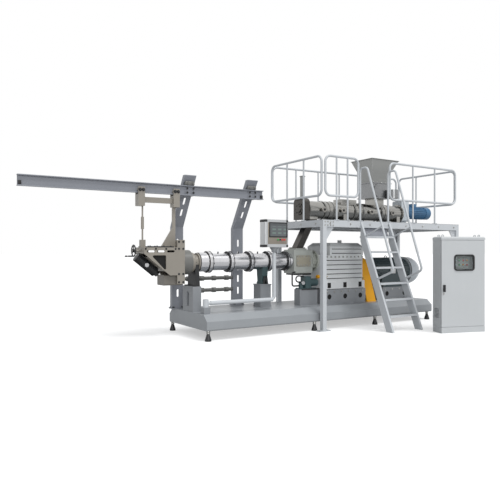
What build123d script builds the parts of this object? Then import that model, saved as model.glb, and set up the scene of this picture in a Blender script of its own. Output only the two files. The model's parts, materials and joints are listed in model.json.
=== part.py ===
from build123d import *
import os
from math import atan2, cos, degrees, hypot, radians, sin

os.makedirs("parts", exist_ok=True)

# Food extruder with its die-face cutter, feed platform and control cabinet.
# Datum: floor under the front left levelling foot; +X along the screw towards the drive,
# +Y to the back, +Z up.  All lengths in millimetres.

# Shared clearances
overrun = 40.0
seat_clearance = 0.3

# Base skid
base_length = 5120.0
base_width = 1410.0
base_side_height = 145.0
base_chamfer_rise = 100.0
base_chamfer_run = 115.0
base_bottom_round = 30.0
foot_inset = 40.0
foot_height = 155.0
foot_pad_radius = 50.0
foot_pad_height = 24.0
foot_cone_height = 90.0
foot_cone_top_radius = 22.0
foot_stud_radius = 14.0
foot_station_shares = (0.0, 0.412, 0.70, 0.988)

# Screw axis above the skid
axis_rise = 800.0

# Front column and die bracket
column_inset = 12.0
column_length = 150.0
column_width = 380.0
column_height = 410.0
column_window_width = 180.0
column_window_height = 240.0
column_window_depth = 60.0
die_bracket_thickness = 70.0
die_bracket_foot_width = 320.0
die_bracket_top_width = 240.0
die_bracket_drop = 40.0
die_bracket_station = 60.0

# Die plate and die adaptor
die_plate_radius = 130.0
die_plate_thickness = 40.0
die_hole_radius = 8.0
die_hole_count = 12
die_hole_ring_radius = 92.0
adaptor_start = 0.0
adaptor_flange_radius = 160.0
adaptor_flange_thickness = 45.0
adaptor_neck_radius = 120.0
adaptor_disc_radius = 150.0
adaptor_disc_thickness = 20.0
adaptor_disc_gap = 26.0
adaptor_disc_count = 4
adaptor_length = 335.0

# Barrel
section_length = 398.0
section_count = 4
barrel_tail = 88.0
barrel_radius = 143.0
barrel_flange_radius = 180.0
barrel_flange_thickness = 32.0
barrel_joint_groove = 8.0
barrel_joint_depth = 14.0

# Middle pedestal and barrel saddle
pedestal_station = 1320.0
pedestal_length = 220.0
pedestal_width = 220.0
pedestal_height = 400.0
pedestal_flange = 18.0
pedestal_flange_margin = 8.0
saddle_length = 110.0
saddle_foot_width = 200.0
saddle_top_width = 220.0
saddle_drop = 45.0
saddle_foot_thickness = 25.0
saddle_neck_width = 150.0

# Feed block
feed_length = 425.0
feed_width = 320.0
feed_below_axis = 230.0
feed_above_axis = 205.0
feed_edge_round = 18.0
feed_flange_length = 250.0
feed_flange_width = 250.0
feed_flange_thickness = 25.0
feed_flange_station_share = 0.45
feed_cover_length = 320.0
feed_cover_height = 200.0
feed_cover_thickness = 18.0
feed_cover_round = 14.0

# Lantern between feed block and gearbox
lantern_length = 120.0
lantern_flange_radius = 200.0
lantern_flange_thickness = 24.0
lantern_neck_radius = 150.0
lantern_rib_thickness = 18.0
lantern_rib_count = 8

# Gearbox on its pedestal
gearbox_length = 1000.0
gearbox_width = 690.0
gearbox_pedestal_height = 270.0
gearbox_pedestal_margin = 20.0
gearbox_foot_height = 150.0
gearbox_foot_margin = 14.0
gearbox_case_height = 630.0
gearbox_corner = 45.0
gearbox_rib_height = 26.0
gearbox_rib_depth = 16.0
gearbox_rib_pitch = 84.0
gearbox_rib_count = 5
gearbox_rib_length = 880.0
gearbox_pocket_length = 85.0
gearbox_pocket_height = 100.0
gearbox_pocket_depth = 45.0
gearbox_bay_pitch = 385.0
gearbox_bay_count = 3
gearbox_cover_height = 235.0
gearbox_cover_inset = 12.0
gearbox_cover_setback = 150.0
gearbox_cover_chamfer = 70.0
gearbox_breather_shift = 180.0
gearbox_breather_radius = 40.0
gearbox_breather_height = 55.0
pedestal_hole_radius = 48.0
pedestal_hole_depth = 140.0
input_shaft_radius = 55.0

# Coupling guard
guard_gap = 30.0
guard_length = 230.0
guard_foot_width = 814.0
guard_top_radius = 200.0
guard_rise_over_shaft = 80.0

# Main motor
drive_height = 570.0
motor_gap = 100.0
motor_shaft_radius = 48.0
motor_nose_length = 90.0
motor_nose_radius = 235.0
motor_body_length = 940.0
motor_body_radius = 255.0
motor_fin_height = 22.0
motor_fin_thickness = 12.0
motor_fin_count = 28
motor_fin_inset = 40.0
motor_shaft_height = 315.0
motor_foot_length = 690.0
motor_foot_width = 110.0
motor_foot_thickness = 40.0
motor_foot_spread = 480.0
motor_foot_web = 60.0
motor_foot_station = 110.0
motor_box_length = 300.0
motor_box_width = 130.0
motor_box_height = 230.0
motor_eye_share = 0.52
motor_eye_radius = 38.0
motor_eye_wire = 12.0
cowl_radius = 285.0
cowl_side_length = 140.0
cowl_dome_length = 290.0
motor_pedestal_margin = 20.0
motor_pedestal_hole_pitch = 490.0
motor_pedestal_hole_count = 2

# Oil pump unit on its stand
oil_stand_station = 2060.0
oil_stand_length = 400.0
oil_stand_front = 390.0
oil_stand_width = 170.0
oil_stand_height = 290.0
oil_pump_motor_radius = 72.0
oil_pump_motor_length = 190.0
oil_pump_body_length = 130.0
oil_pump_body_width = 150.0
oil_pump_body_height = 230.0
oil_pump_foot_thickness = 20.0
oil_filter_radius = 45.0
oil_filter_height = 130.0
oil_pipe_radius = 14.0
oil_pipe_bend = 40.0
oil_pipe_reach = 155.0
oil_pipe_lift = 60.0
oil_port_lift = 30.0

# Gantry posts and beam
post_pitch = 1200.0
post_width = 205.0
post_depth = 85.0
post_plate = 10.0
post_setback = 455.0
post_bend_rise = 1390.0
post_head_height = 160.0
post_foot_length = 240.0
post_foot_width = 130.0
post_foot_thickness = 18.0
post_slot_width = 36.0
post_slot_length = 130.0
post_slot_pitch = 215.0
post_slot_count = 5
post_lean_slot_count = 2
beam_overhang = 2620.0
beam_tail = 125.0
beam_depth = 160.0
beam_flange_width = 90.0
beam_flange_thickness = 13.0
beam_web_thickness = 8.0
beam_rise = 1890.0

# Water pipes between the posts
pipe_radius = 32.0
pipe_coupling_radius = 44.0
pipe_coupling_length = 70.0
pipe_coupling_shares = (0.12, 0.38, 0.62, 0.88)
pipe_lower_rise = 290.0
pipe_upper_rise = 500.0

# Operator panel on its swing arm
arm_pivot_x = 60.0
arm_pivot_y = 200.0
arm_block_size = 110.0
arm_block_height = 100.0
arm_pin_radius = 22.0
arm_sleeve_radius = 46.0
arm_sleeve_height = 125.0
arm_tube_radius = 26.0
arm_reach = 1305.0
arm_bend = 70.0
arm_pole_height = 840.0
panel_pin_radius = 14.0
panel_pin_height = 34.0
panel_neck_radius = 52.0
panel_neck_height = 45.0
panel_width = 470.0
panel_depth = 170.0
panel_height = 465.0
panel_edge_round = 16.0
panel_screen_width = 335.0
panel_screen_height = 215.0
panel_screen_thickness = 6.0
panel_screen_drop = 65.0
panel_strip_width = 200.0
panel_strip_height = 90.0
panel_strip_thickness = 5.0
panel_strip_shift = 75.0
panel_screen_shift = 25.0
panel_strip_lift = 82.0
panel_button_radius = 13.0
panel_button_height = 16.0
panel_button_pitch = 45.0
panel_button_count = 4
panel_grip_reach = 45.0
panel_grip_height = 260.0
panel_grip_radius = 11.0
panel_grip_bend = 25.0

# Feed platform
platform_start = 2130.0
platform_length = 3630.0
leg_size = 80.0
leg_clearance = 50.0
leg_back_shift = 180.0
leg_plate_length = 240.0
leg_plate_width = 120.0
leg_plate_thickness = 16.0
leg_hole_radius = 9.0
leg_hole_pitch = 190.0
leg_gusset_run = 190.0
leg_gusset_rise = 260.0
leg_gusset_thickness = 14.0
deck_height = 1925.0
deck_thickness = 6.0
channel_height = 115.0
channel_width = 62.0
cross_beam_count = 4
cross_beam_width = 60.0
rail_radius = 21.0
rail_inset = 30.0
rail_height = 1115.0
rail_middle_height = 425.0
rail_bend = 110.0
rail_corner_gap = 45.0
rail_post_spacing = 500.0
rail_post_least = 3
rail_ladder_gap = 25.0
baluster_radius = 16.0

# Access ladder
ladder_start = 3000.0
ladder_width = 750.0
ladder_run = 775.0
stringer_foot = 150.0
stringer_thickness = 40.0
tread_count = 6
tread_depth = 190.0
tread_thickness = 32.0
handrail_radius = 19.0
handrail_start_height = 900.0
handrail_reach = 360.0
handrail_top_height = 948.0
handrail_loop = 180.0
handrail_bend = 75.0
stay_height = 1650.0
stay_radius = 13.0

# Conditioner over the feed block
conditioner_offset = -85.0
conditioner_rise = 225.0
conditioner_start = 2300.0
conditioner_length = 2450.0
conditioner_radius = 163.0
conditioner_flange_radius = 192.0
conditioner_flange_thickness = 26.0
conditioner_ring_shares = (0.2, 0.504, 0.794)
conditioner_ring_thickness = 250.0
conditioner_ring_radius = 172.0
conditioner_port_radius = 30.0
conditioner_port_length = 45.0
conditioner_port_shares = (0.13, 0.32, 0.62, 0.86)
conditioner_lid_length = 400.0
conditioner_lid_width = 220.0
conditioner_lid_height = 60.0
conditioner_lid_share = 0.41
conditioner_inlet_size = 260.0
conditioner_inlet_height = 280.0
saddle_plate_length = 90.0
saddle_plate_width = 300.0
saddle_plate_shares = (0.36, 0.95)
saddle_plate_foot = 16.0
saddle_plate_foot_length = 170.0
outlet_station = 2450.0
outlet_size = 190.0
outlet_drop = 180.0
discharge_length = 110.0
discharge_width = 350.0
discharge_below = 190.0
discharge_above = 200.0
discharge_edge_round = 90.0
vent_size = 60.0
vent_height = 400.0
vent_cap_margin = 8.0
vent_cap_height = 18.0
chute_top_size = 150.0
chute_bottom_size = 150.0
chute_wall = 6.0
chute_flange_margin = 30.0
chute_flange_thickness = 18.0
drive_box_length = 220.0
drive_box_width = 250.0
drive_box_above = 270.0
drive_box_round = 30.0
drive_box_foot_height = 70.0
drive_box_foot_inset = 40.0
blue_motor_radius = 116.0
blue_motor_length = 560.0
blue_motor_fin_height = 16.0
blue_motor_fin_thickness = 8.0
blue_motor_fin_count = 20
blue_motor_cowl_length = 130.0
blue_motor_cowl_margin = 14.0
blue_motor_lift = 40.0

# Feeder and hopper over the conditioner
feeder_station = 4095.0
feeder_length = 500.0
feeder_width = 380.0
feeder_height = 315.0
feeder_flange_margin = 22.0
feeder_flange_thickness = 16.0
feeder_rotor_radius = 125.0
feeder_rotor_shift = -85.0
feeder_motor_shift = 235.0
feeder_motor_sink = 18.0
feeder_motor_radius = 105.0
feeder_motor_length = 176.0
hopper_neck_height = 195.0
hopper_height = 280.0
hopper_length = 735.0
hopper_width = 580.0
hopper_shift_x = 117.0
hopper_shift_y = 100.0
hopper_wall = 6.0
hopper_rim_margin = 15.0
hopper_rim_thickness = 12.0

# Control cabinet, standing free in front and turned towards the operator
cabinet_x = 4110.0
cabinet_y = -1404.0
cabinet_turn = -17.5
cabinet_width = 850.0
cabinet_depth = 250.0
cabinet_plinth_height = 100.0
cabinet_plinth_inset = 3.0
cabinet_height = 1625.0
cabinet_wall = 16.0
cabinet_roof_height = 55.0
cabinet_roof_margin = 3.0
cabinet_roof_chamfer = 18.0
cabinet_lug_radius = 24.0
cabinet_lug_hole = 11.0
cabinet_lug_thickness = 10.0
cabinet_lug_inset = 70.0
door_thickness = 22.0
door_gap = 8.5
door_edge_gap = 5.0
door_pin_radius = 6.0
door_pin_inset = 9.0
door_pin_length = 20.0
window_width = 345.0
window_height = 225.0
window_round = 28.0
window_frame_margin = 26.0
window_frame_thickness = 12.0
window_pane_thickness = 8.0
window_offset = 15.0
window_centre_height = 1185.0
handle_width = 28.0
handle_height = 120.0
handle_depth = 36.0
handle_inset = 45.0
handle_centre_height = 756.0
instrument_setback = 70.0
instrument_thickness = 12.0
instrument_height = 420.0
instrument_lamp_radius = 14.0
instrument_lamp_height = 18.0
instrument_lamp_pitch = 75.0
instrument_lamp_columns = 4
instrument_lamp_rows = 2
vent_slot_length = 130.0
vent_slot_height = 9.0
vent_slot_pitch = 24.0
vent_slot_count = 7
vent_slot_centre_height = 330.0

# Die-face cutter hanging from its trolley
carrier_length = 105.0
carrier_plate = 18.0
carrier_side_gap = 10.0
carrier_top_rise = 90.0
carrier_drop = 205.0
carrier_under_gap = 22.0
carrier_front_station = -895.0
carrier_rear_station = -307.0
carrier_roller_shares = (0.25, 0.75)
roller_radius = 32.0
roller_width = 26.0
roller_axle_radius = 12.0
trolley_bar_drop = 62.0
trolley_bar_height = 85.0
trolley_bar_width = 50.0
cutter_frame_start = -850.0
cutter_frame_end = -170.0
cutter_plate_thickness = 20.0
cutter_frame_half_width = 195.0
cutter_top_rise = 240.0
cutter_head_rise = 360.0
cutter_head_length = 130.0
cutter_bottom_drop = 340.0
cutter_nose_drop = 200.0
cutter_nose_station = -420.0
cutter_tail_rise = 145.0
cutter_window_start = -735.0
cutter_window_end = -490.0
cutter_window_top_rise = 118.0
cutter_window_bottom_drop = 130.0
cutter_window_round = 18.0
cutter_slot_length = 130.0
cutter_slot_height = 34.0
cutter_slot_pitch = 165.0
cutter_slot_count = 3
cutter_motor_radius = 66.0
cutter_motor_length = 400.0
cutter_motor_fin_count = 20
cutter_motor_fin_height = 8.0
cutter_motor_fin_thickness = 6.0
cutter_motor_back_shift = 90.0
cutter_motor_plate = 16.0
cutter_motor_plate_length = 340.0
cutter_motor_neck_radius = 45.0
cutter_motor_neck_length = 50.0
gear_case_start = -500.0
gear_case_width = 290.0
gear_case_height = 165.0
gear_case_top_drop = 195.0
gear_case_round = 25.0
hood_radius = 200.0
hood_wall = 8.0
hood_end = -20.0
knife_hub_radius = 42.0
knife_shaft_radius = 26.0
knife_length = 88.0
knife_width = 30.0
knife_thickness = 6.0
knife_count = 4
knife_clearance = 8.0
front_rod_inset = 90.0
front_rod_radius = 13.0
front_turnbuckle_radius = 24.0
front_turnbuckle_length = 190.0
front_clevis_length = 80.0
front_clevis_width = 64.0
front_clevis_height = 120.0
rear_hanger_inset = 53.0
rear_hanger_thickness = 32.0
rear_hanger_bar = 50.0
rear_hanger_straight = 330.0
rear_hanger_foot = 248.0
wheel_rise = 190.0
wheel_radius = 95.0
wheel_rim_radius = 10.0
wheel_hub_radius = 26.0
wheel_hub_length = 44.0
wheel_spoke_width = 18.0
wheel_spoke_count = 3
wheel_knob_radius = 12.0
wheel_knob_length = 85.0
spindle_radius = 14.0
spindle_length = 120.0

# Derived stations
base_left = -foot_inset
base_front = -foot_inset
base_right = base_left + base_length
base_back = base_front + base_width
base_shoulder = foot_height + base_side_height
base_top = base_shoulder + base_chamfer_rise
axis_y = base_front + base_width / 2
axis_z = base_top + axis_rise
foot_row_length = base_length - 2 * foot_inset
foot_stations = [share * foot_row_length for share in foot_station_shares]
foot_rows = (0, base_width - 2 * foot_inset)
barrel_start = adaptor_start + adaptor_length
barrel_end = barrel_start + section_count * section_length + barrel_tail
feed_end = barrel_end + feed_length
feed_top = axis_z + feed_above_axis
feed_seat = feed_top + feed_flange_thickness
gearbox_start = feed_end + lantern_length
gearbox_end = gearbox_start + gearbox_length
gearbox_middle = gearbox_start + gearbox_length / 2
gearbox_seat = base_top + gearbox_pedestal_height
gearbox_split = gearbox_seat + gearbox_case_height
drive_z = base_top + drive_height
guard_start = gearbox_end + guard_gap
guard_end = guard_start + guard_length
motor_start = guard_end + motor_gap
motor_body_start = motor_start + motor_nose_length
motor_body_end = motor_body_start + motor_body_length
motor_seat = drive_z - motor_shaft_height
motor_foot_start = motor_body_start + motor_foot_station
oil_seat = base_top + oil_stand_height
beam_bottom = base_top + beam_rise
beam_top = beam_bottom + beam_depth
beam_back = axis_y + beam_flange_width / 2
post_front = axis_y + post_setback
post_bend = base_top + post_bend_rise
post_lean_share = (post_front - beam_back) / (beam_top - post_bend)
post_top = beam_top + post_head_height
post_head_y = beam_back - post_lean_share * post_head_height
post_seat_y = beam_back + post_lean_share * beam_depth
beam_left = -beam_overhang
beam_right = post_pitch + post_width / 2 + beam_tail
platform_front = base_front - leg_clearance - leg_size
platform_back = base_back + leg_clearance + leg_size
platform_end = platform_start + platform_length
deck_bottom = deck_height - deck_thickness
channel_bottom = deck_bottom - channel_height
rail_front = platform_front + rail_inset
rail_back = platform_back - rail_inset
rail_left = platform_start + rail_inset
rail_right = platform_end - rail_inset
rail_top = deck_height + rail_height
rail_middle = deck_height + rail_middle_height
ladder_end = ladder_start + ladder_width
ladder_foot_y = platform_front - ladder_run
conditioner_y = axis_y + conditioner_offset
conditioner_z = deck_height + conditioner_rise
conditioner_end = conditioner_start + conditioner_length
inlet_top = conditioner_z + conditioner_inlet_height
feeder_top = inlet_top + feeder_height
hopper_seat = feeder_top + hopper_neck_height
discharge_start = conditioner_start - discharge_length
discharge_middle = discharge_start + discharge_length / 2
discharge_bottom = conditioner_z - discharge_below
discharge_top = conditioner_z + discharge_above
outlet_bottom = conditioner_z - outlet_drop
chute_foot_x = barrel_end + feed_length * feed_flange_station_share
drive_box_end = conditioner_end + drive_box_length
arm_seat = base_top + arm_block_height
arm_z = arm_seat + arm_sleeve_height / 2
pole_x = arm_pivot_x + arm_reach
pole_top = arm_z + arm_pole_height
panel_bottom = pole_top + panel_neck_height
panel_front = arm_pivot_y - panel_depth / 2
cutter_top = axis_z + cutter_top_rise
carrier_bottom = beam_bottom - carrier_drop

low = (Align.MIN, Align.CENTER, Align.MIN)
mid = (Align.CENTER, Align.CENTER, Align.MIN)
along_x = (0, 90, 0)
along_y = (90, 0, 0)

screw_axis = Axis((0, axis_y, axis_z), (1, 0, 0))
screw_plane = Plane(origin=(0, axis_y, axis_z), x_dir=(1, 0, 0), z_dir=(0, -1, 0))
conditioner_axis = Axis((0, conditioner_y, conditioner_z), (1, 0, 0))
conditioner_plane = Plane(origin=(0, conditioner_y, conditioner_z), x_dir=(1, 0, 0), z_dir=(0, -1, 0))
motor_axis = Axis((0, axis_y, drive_z), (1, 0, 0))
motor_plane = Plane(origin=(0, axis_y, drive_z), x_dir=(1, 0, 0), z_dir=(0, -1, 0))


def lengthwise(y):
    """Upright plane along the machine: x to the drive, z up."""
    return Plane(origin=(0, y, 0), x_dir=(1, 0, 0), z_dir=(0, -1, 0))


def crosswise(x, y=0, z=0):
    """Upright plane across the machine: y to the back, z up."""
    return Plane(origin=(x, y, z), x_dir=(0, 1, 0), z_dir=(1, 0, 0))


# Base skid: one folded section with sloping shoulders
with BuildPart() as base_frame:
    with BuildSketch(crosswise(base_left)):
        with BuildLine():
            Polyline(
                (base_front, foot_height),
                (base_back, foot_height),
                (base_back, base_shoulder),
                (base_back - base_chamfer_run, base_top),
                (base_front + base_chamfer_run, base_top),
                (base_front, base_shoulder),
                close=True,
            )
        make_face()
    extrude(amount=base_length)
    fillet(base_frame.edges().filter_by(Axis.X).group_by(Axis.Z)[0], radius=base_bottom_round)
base_frame.part.label = "base_frame"
export_step(base_frame.part, "parts/base_frame.step")

# Levelling feet: pad, cone and stud
with BuildPart() as levelling_feet:
    with Locations([(x, y) for x in foot_stations for y in foot_rows]):
        Cylinder(foot_pad_radius, foot_pad_height, align=mid)
        with Locations((0, 0, foot_pad_height)):
            Cone(foot_pad_radius, foot_cone_top_radius, foot_cone_height, align=mid)
        with Locations((0, 0, foot_pad_height)):
            Cylinder(foot_stud_radius, foot_height - foot_pad_height, align=mid)
levelling_feet.part.label = "levelling_feet"
export_step(levelling_feet.part, "parts/levelling_feet.step")

# Front column under the die
column_start = base_left + column_inset
with BuildPart() as front_column:
    with Locations((column_start, axis_y, base_top)):
        Box(column_length, column_width, column_height, align=low)
    with BuildSketch(crosswise(column_start, axis_y, base_top + column_height / 2)):
        SlotOverall(column_window_height, column_window_width / 2, rotation=90)
    extrude(amount=column_window_depth, mode=Mode.SUBTRACT)
front_column.part.label = "front_column"
export_step(front_column.part, "parts/front_column.step")

# Bracket that carries the die adaptor on the column
with BuildPart() as die_bracket:
    with BuildSketch(crosswise(adaptor_start + adaptor_flange_thickness + seat_clearance)):
        with BuildLine():
            Polyline(
                (axis_y - die_bracket_foot_width / 2, base_top + column_height),
                (axis_y + die_bracket_foot_width / 2, base_top + column_height),
                (axis_y + die_bracket_top_width / 2, axis_z - die_bracket_drop),
                (axis_y - die_bracket_top_width / 2, axis_z - die_bracket_drop),
                close=True,
            )
        make_face()
        with Locations((axis_y, axis_z)):
            Circle(adaptor_neck_radius + seat_clearance, mode=Mode.SUBTRACT)
    extrude(amount=die_bracket_thickness)
die_bracket.part.label = "die_bracket"
export_step(die_bracket.part, "parts/die_bracket.step")

# Die plate with its ring of die holes
with BuildPart() as die_plate:
    with BuildSketch(crosswise(adaptor_start - die_plate_thickness, axis_y, axis_z)):
        Circle(die_plate_radius)
        with PolarLocations(die_hole_ring_radius, die_hole_count):
            Circle(die_hole_radius, mode=Mode.SUBTRACT)
    extrude(amount=die_plate_thickness)
die_plate.part.label = "die_plate"
export_step(die_plate.part, "parts/die_plate.step")

# Die adaptor: front flange, neck over the bracket and a stack of cooling discs
with BuildPart() as die_adaptor:
    with BuildSketch(screw_plane):
        with Locations((adaptor_start, 0)):
            Rectangle(adaptor_length, adaptor_neck_radius, align=(Align.MIN, Align.MIN))
            Rectangle(adaptor_flange_thickness, adaptor_flange_radius, align=(Align.MIN, Align.MIN))
        disc_zone_end = barrel_start - barrel_flange_thickness
        with Locations(
            [
                (disc_zone_end - (number + 1) * (adaptor_disc_thickness + adaptor_disc_gap), 0)
                for number in range(adaptor_disc_count)
            ]
        ):
            Rectangle(adaptor_disc_thickness, adaptor_disc_radius, align=(Align.MIN, Align.MIN))
        with Locations((disc_zone_end, 0)):
            Rectangle(barrel_flange_thickness, barrel_flange_radius, align=(Align.MIN, Align.MIN))
    revolve(axis=screw_axis)
die_adaptor.part.label = "die_adaptor"
export_step(die_adaptor.part, "parts/die_adaptor.step")

# Barrel: flanged sections bolted end to end
with BuildPart() as barrel_sections:
    with BuildSketch(screw_plane):
        with Locations((barrel_start, 0)):
            Rectangle(
                barrel_end - barrel_start,
                barrel_radius,
                align=(Align.MIN, Align.MIN),
            )
        with Locations([(barrel_start + number * section_length, 0) for number in range(section_count)]):
            Rectangle(barrel_flange_thickness, barrel_flange_radius, align=(Align.MIN, Align.MIN))
        section_ends = [barrel_start + (number + 1) * section_length for number in range(section_count)]
        with Locations([(place, 0) for place in section_ends]):
            Rectangle(barrel_flange_thickness, barrel_flange_radius, align=(Align.MAX, Align.MIN))
        with Locations(
            [
                (barrel_start + (number + 1) * section_length, barrel_flange_radius - barrel_joint_depth)
                for number in range(section_count - 1)
            ]
        ):
            Rectangle(
                barrel_joint_groove,
                barrel_joint_depth + overrun,
                align=(Align.CENTER, Align.MIN),
                mode=Mode.SUBTRACT,
            )
    revolve(axis=screw_axis)
barrel_sections.part.label = "barrel_sections"
export_step(barrel_sections.part, "parts/barrel_sections.step")

# Middle pedestal and the saddle under the barrel
pedestal_top = base_top + pedestal_height
with BuildPart() as middle_pedestal:
    with Locations((pedestal_station, axis_y, base_top)):
        Box(pedestal_length, pedestal_width, pedestal_height, align=low)
    with Locations(
        (pedestal_station - pedestal_flange_margin, axis_y, base_top),
        (pedestal_station - pedestal_flange_margin, axis_y, pedestal_top - pedestal_flange),
    ):
        Box(
            pedestal_length + 2 * pedestal_flange_margin,
            pedestal_width + 2 * pedestal_flange_margin,
            pedestal_flange,
            align=low,
        )
middle_pedestal.part.label = "middle_pedestal"
export_step(middle_pedestal.part, "parts/middle_pedestal.step")

saddle_start = pedestal_station + pedestal_length / 2 - saddle_length / 2
with BuildPart() as barrel_saddle:
    with BuildSketch(crosswise(saddle_start)):
        with BuildLine():
            Polyline(
                (axis_y - saddle_foot_width / 2, pedestal_top),
                (axis_y + saddle_foot_width / 2, pedestal_top),
                (axis_y + saddle_foot_width / 2, pedestal_top + saddle_foot_thickness),
                (axis_y + saddle_neck_width / 2, pedestal_top + 2 * saddle_foot_thickness),
                (axis_y + saddle_top_width / 2, axis_z - saddle_drop),
                (axis_y - saddle_top_width / 2, axis_z - saddle_drop),
                (axis_y - saddle_neck_width / 2, pedestal_top + 2 * saddle_foot_thickness),
                (axis_y - saddle_foot_width / 2, pedestal_top + saddle_foot_thickness),
                close=True,
            )
        make_face()
        with Locations((axis_y, axis_z)):
            Circle(barrel_radius + seat_clearance, mode=Mode.SUBTRACT)
    extrude(amount=saddle_length)
barrel_saddle.part.label = "barrel_saddle"
export_step(barrel_saddle.part, "parts/barrel_saddle.step")

# Feed block with its inlet flange and front cover
with BuildPart() as feed_block:
    with Locations((barrel_end, axis_y, axis_z - feed_below_axis)):
        Box(feed_length, feed_width, feed_below_axis + feed_above_axis, align=low)
    fillet(feed_block.edges().filter_by(Axis.X), radius=feed_edge_round)
    with Locations((chute_foot_x, axis_y, feed_top)):
        Box(feed_flange_length, feed_flange_width, feed_flange_thickness, align=mid)
feed_block.part.label = "feed_block"
export_step(feed_block.part, "parts/feed_block.step")

with BuildPart() as feed_cover:
    with BuildSketch(lengthwise(axis_y - feed_width / 2)):
        with Locations((barrel_end + feed_length / 2, axis_z)):
            RectangleRounded(feed_cover_length, feed_cover_height, feed_cover_round)
    extrude(amount=feed_cover_thickness)
feed_cover.part.label = "feed_cover"
export_step(feed_cover.part, "parts/feed_cover.step")

# Lantern casting with radial ribs
with BuildPart() as gearbox_lantern:
    with BuildSketch(crosswise(feed_end, axis_y, axis_z)):
        Circle(lantern_neck_radius)
    extrude(amount=lantern_length)
    with BuildSketch(crosswise(gearbox_start - lantern_flange_thickness, axis_y, axis_z)):
        Circle(lantern_flange_radius)
    extrude(amount=lantern_flange_thickness)
    with BuildSketch(crosswise(feed_end, axis_y, axis_z)):
        Circle(lantern_flange_radius - lantern_flange_thickness)
    extrude(amount=lantern_flange_thickness)
    with BuildSketch(crosswise(feed_end + lantern_flange_thickness, axis_y, axis_z)):
        with PolarLocations(0, lantern_rib_count):
            Rectangle(
                lantern_flange_radius - lantern_flange_thickness,
                lantern_rib_thickness,
                align=(Align.MIN, Align.CENTER),
            )
    extrude(amount=lantern_length - 2 * lantern_flange_thickness)
gearbox_lantern.part.label = "gearbox_lantern"
export_step(gearbox_lantern.part, "parts/gearbox_lantern.step")

# Gearbox pedestal with round openings in both long sides
pedestal_reach = gearbox_width / 2 + gearbox_pedestal_margin
pedestal_sides = (axis_y - pedestal_reach, axis_y + pedestal_reach)
with BuildPart() as gearbox_pedestal:
    with Locations((gearbox_middle, axis_y, base_top)):
        Box(
            gearbox_length + 2 * gearbox_pedestal_margin,
            gearbox_width + 2 * gearbox_pedestal_margin,
            gearbox_pedestal_height,
            align=mid,
        )
    for side in pedestal_sides:
        with BuildSketch(lengthwise(side)):
            with Locations((gearbox_middle, base_top + gearbox_pedestal_height / 2)):
                with GridLocations(gearbox_bay_pitch, overrun, gearbox_bay_count, 1):
                    Circle(pedestal_hole_radius)
        extrude(amount=pedestal_hole_depth / 2, both=True, mode=Mode.SUBTRACT)
gearbox_pedestal.part.label = "gearbox_pedestal"
export_step(gearbox_pedestal.part, "parts/gearbox_pedestal.step")

# Gearbox case: foot with bolt pockets, ribbed sides and the input shaft stub
case_sides = (axis_y - gearbox_width / 2, axis_y + gearbox_width / 2)
with BuildPart() as gearbox_case:
    with Locations((gearbox_middle, axis_y, gearbox_seat)):
        Box(gearbox_length, gearbox_width, gearbox_case_height, align=mid)
    chamfer(gearbox_case.edges().filter_by(Axis.Z), length=gearbox_corner)
    with Locations((gearbox_middle, axis_y, gearbox_seat)):
        Box(gearbox_length, gearbox_width + 2 * gearbox_foot_margin, gearbox_foot_height, align=mid)
    for side in (case_sides[0] - gearbox_foot_margin, case_sides[1] + gearbox_foot_margin):
        with BuildSketch(lengthwise(side)):
            with Locations((gearbox_middle, gearbox_seat + gearbox_foot_height / 2)):
                with GridLocations(gearbox_bay_pitch, overrun, gearbox_bay_count, 1):
                    Rectangle(gearbox_pocket_length, gearbox_pocket_height)
        extrude(amount=gearbox_pocket_depth, both=True, mode=Mode.SUBTRACT)
    rib_middle = (gearbox_seat + gearbox_foot_height + gearbox_split) / 2
    for side in case_sides:
        with BuildSketch(lengthwise(side)):
            with Locations((gearbox_middle, rib_middle)):
                with GridLocations(overrun, gearbox_rib_pitch, 1, gearbox_rib_count):
                    Rectangle(gearbox_rib_length, gearbox_rib_height)
        extrude(amount=gearbox_rib_depth, both=True)
    with BuildSketch(crosswise(gearbox_end, axis_y, drive_z)):
        Circle(input_shaft_radius)
    extrude(amount=guard_gap)
gearbox_case.part.label = "gearbox_case"
export_step(gearbox_case.part, "parts/gearbox_case.step")

with BuildPart() as gearbox_cover:
    with Locations((gearbox_start + gearbox_cover_setback, axis_y, gearbox_split)):
        Box(
            gearbox_length - gearbox_cover_setback - gearbox_cover_inset,
            gearbox_width - 2 * gearbox_cover_inset,
            gearbox_cover_height,
            align=low,
        )
    chamfer(gearbox_cover.faces().sort_by(Axis.Z)[-1].edges(), length=gearbox_cover_chamfer)
    with Locations((gearbox_middle + gearbox_breather_shift, axis_y, gearbox_split + gearbox_cover_height)):
        Cylinder(gearbox_breather_radius, gearbox_breather_height, align=mid)
gearbox_cover.part.label = "gearbox_cover"
export_step(gearbox_cover.part, "parts/gearbox_cover.step")

# Coupling guard: sloping sides drawn up into a round crown over the shaft
guard_crown = drive_z + guard_rise_over_shaft
with BuildPart() as coupling_guard:
    with BuildSketch(crosswise(guard_start)):
        with BuildLine():
            foot_line = Line(
                (axis_y - guard_foot_width / 2, base_top),
                (axis_y + guard_foot_width / 2, base_top),
            )
            right_line = Line(foot_line @ 1, (axis_y + guard_top_radius, guard_crown))
            crown = ThreePointArc(
                right_line @ 1,
                (axis_y, guard_crown + guard_top_radius),
                (axis_y - guard_top_radius, guard_crown),
            )
            Line(crown @ 1, foot_line @ 0)
        make_face()
    extrude(amount=guard_length)
coupling_guard.part.label = "coupling_guard"
export_step(coupling_guard.part, "parts/coupling_guard.step")

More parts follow.
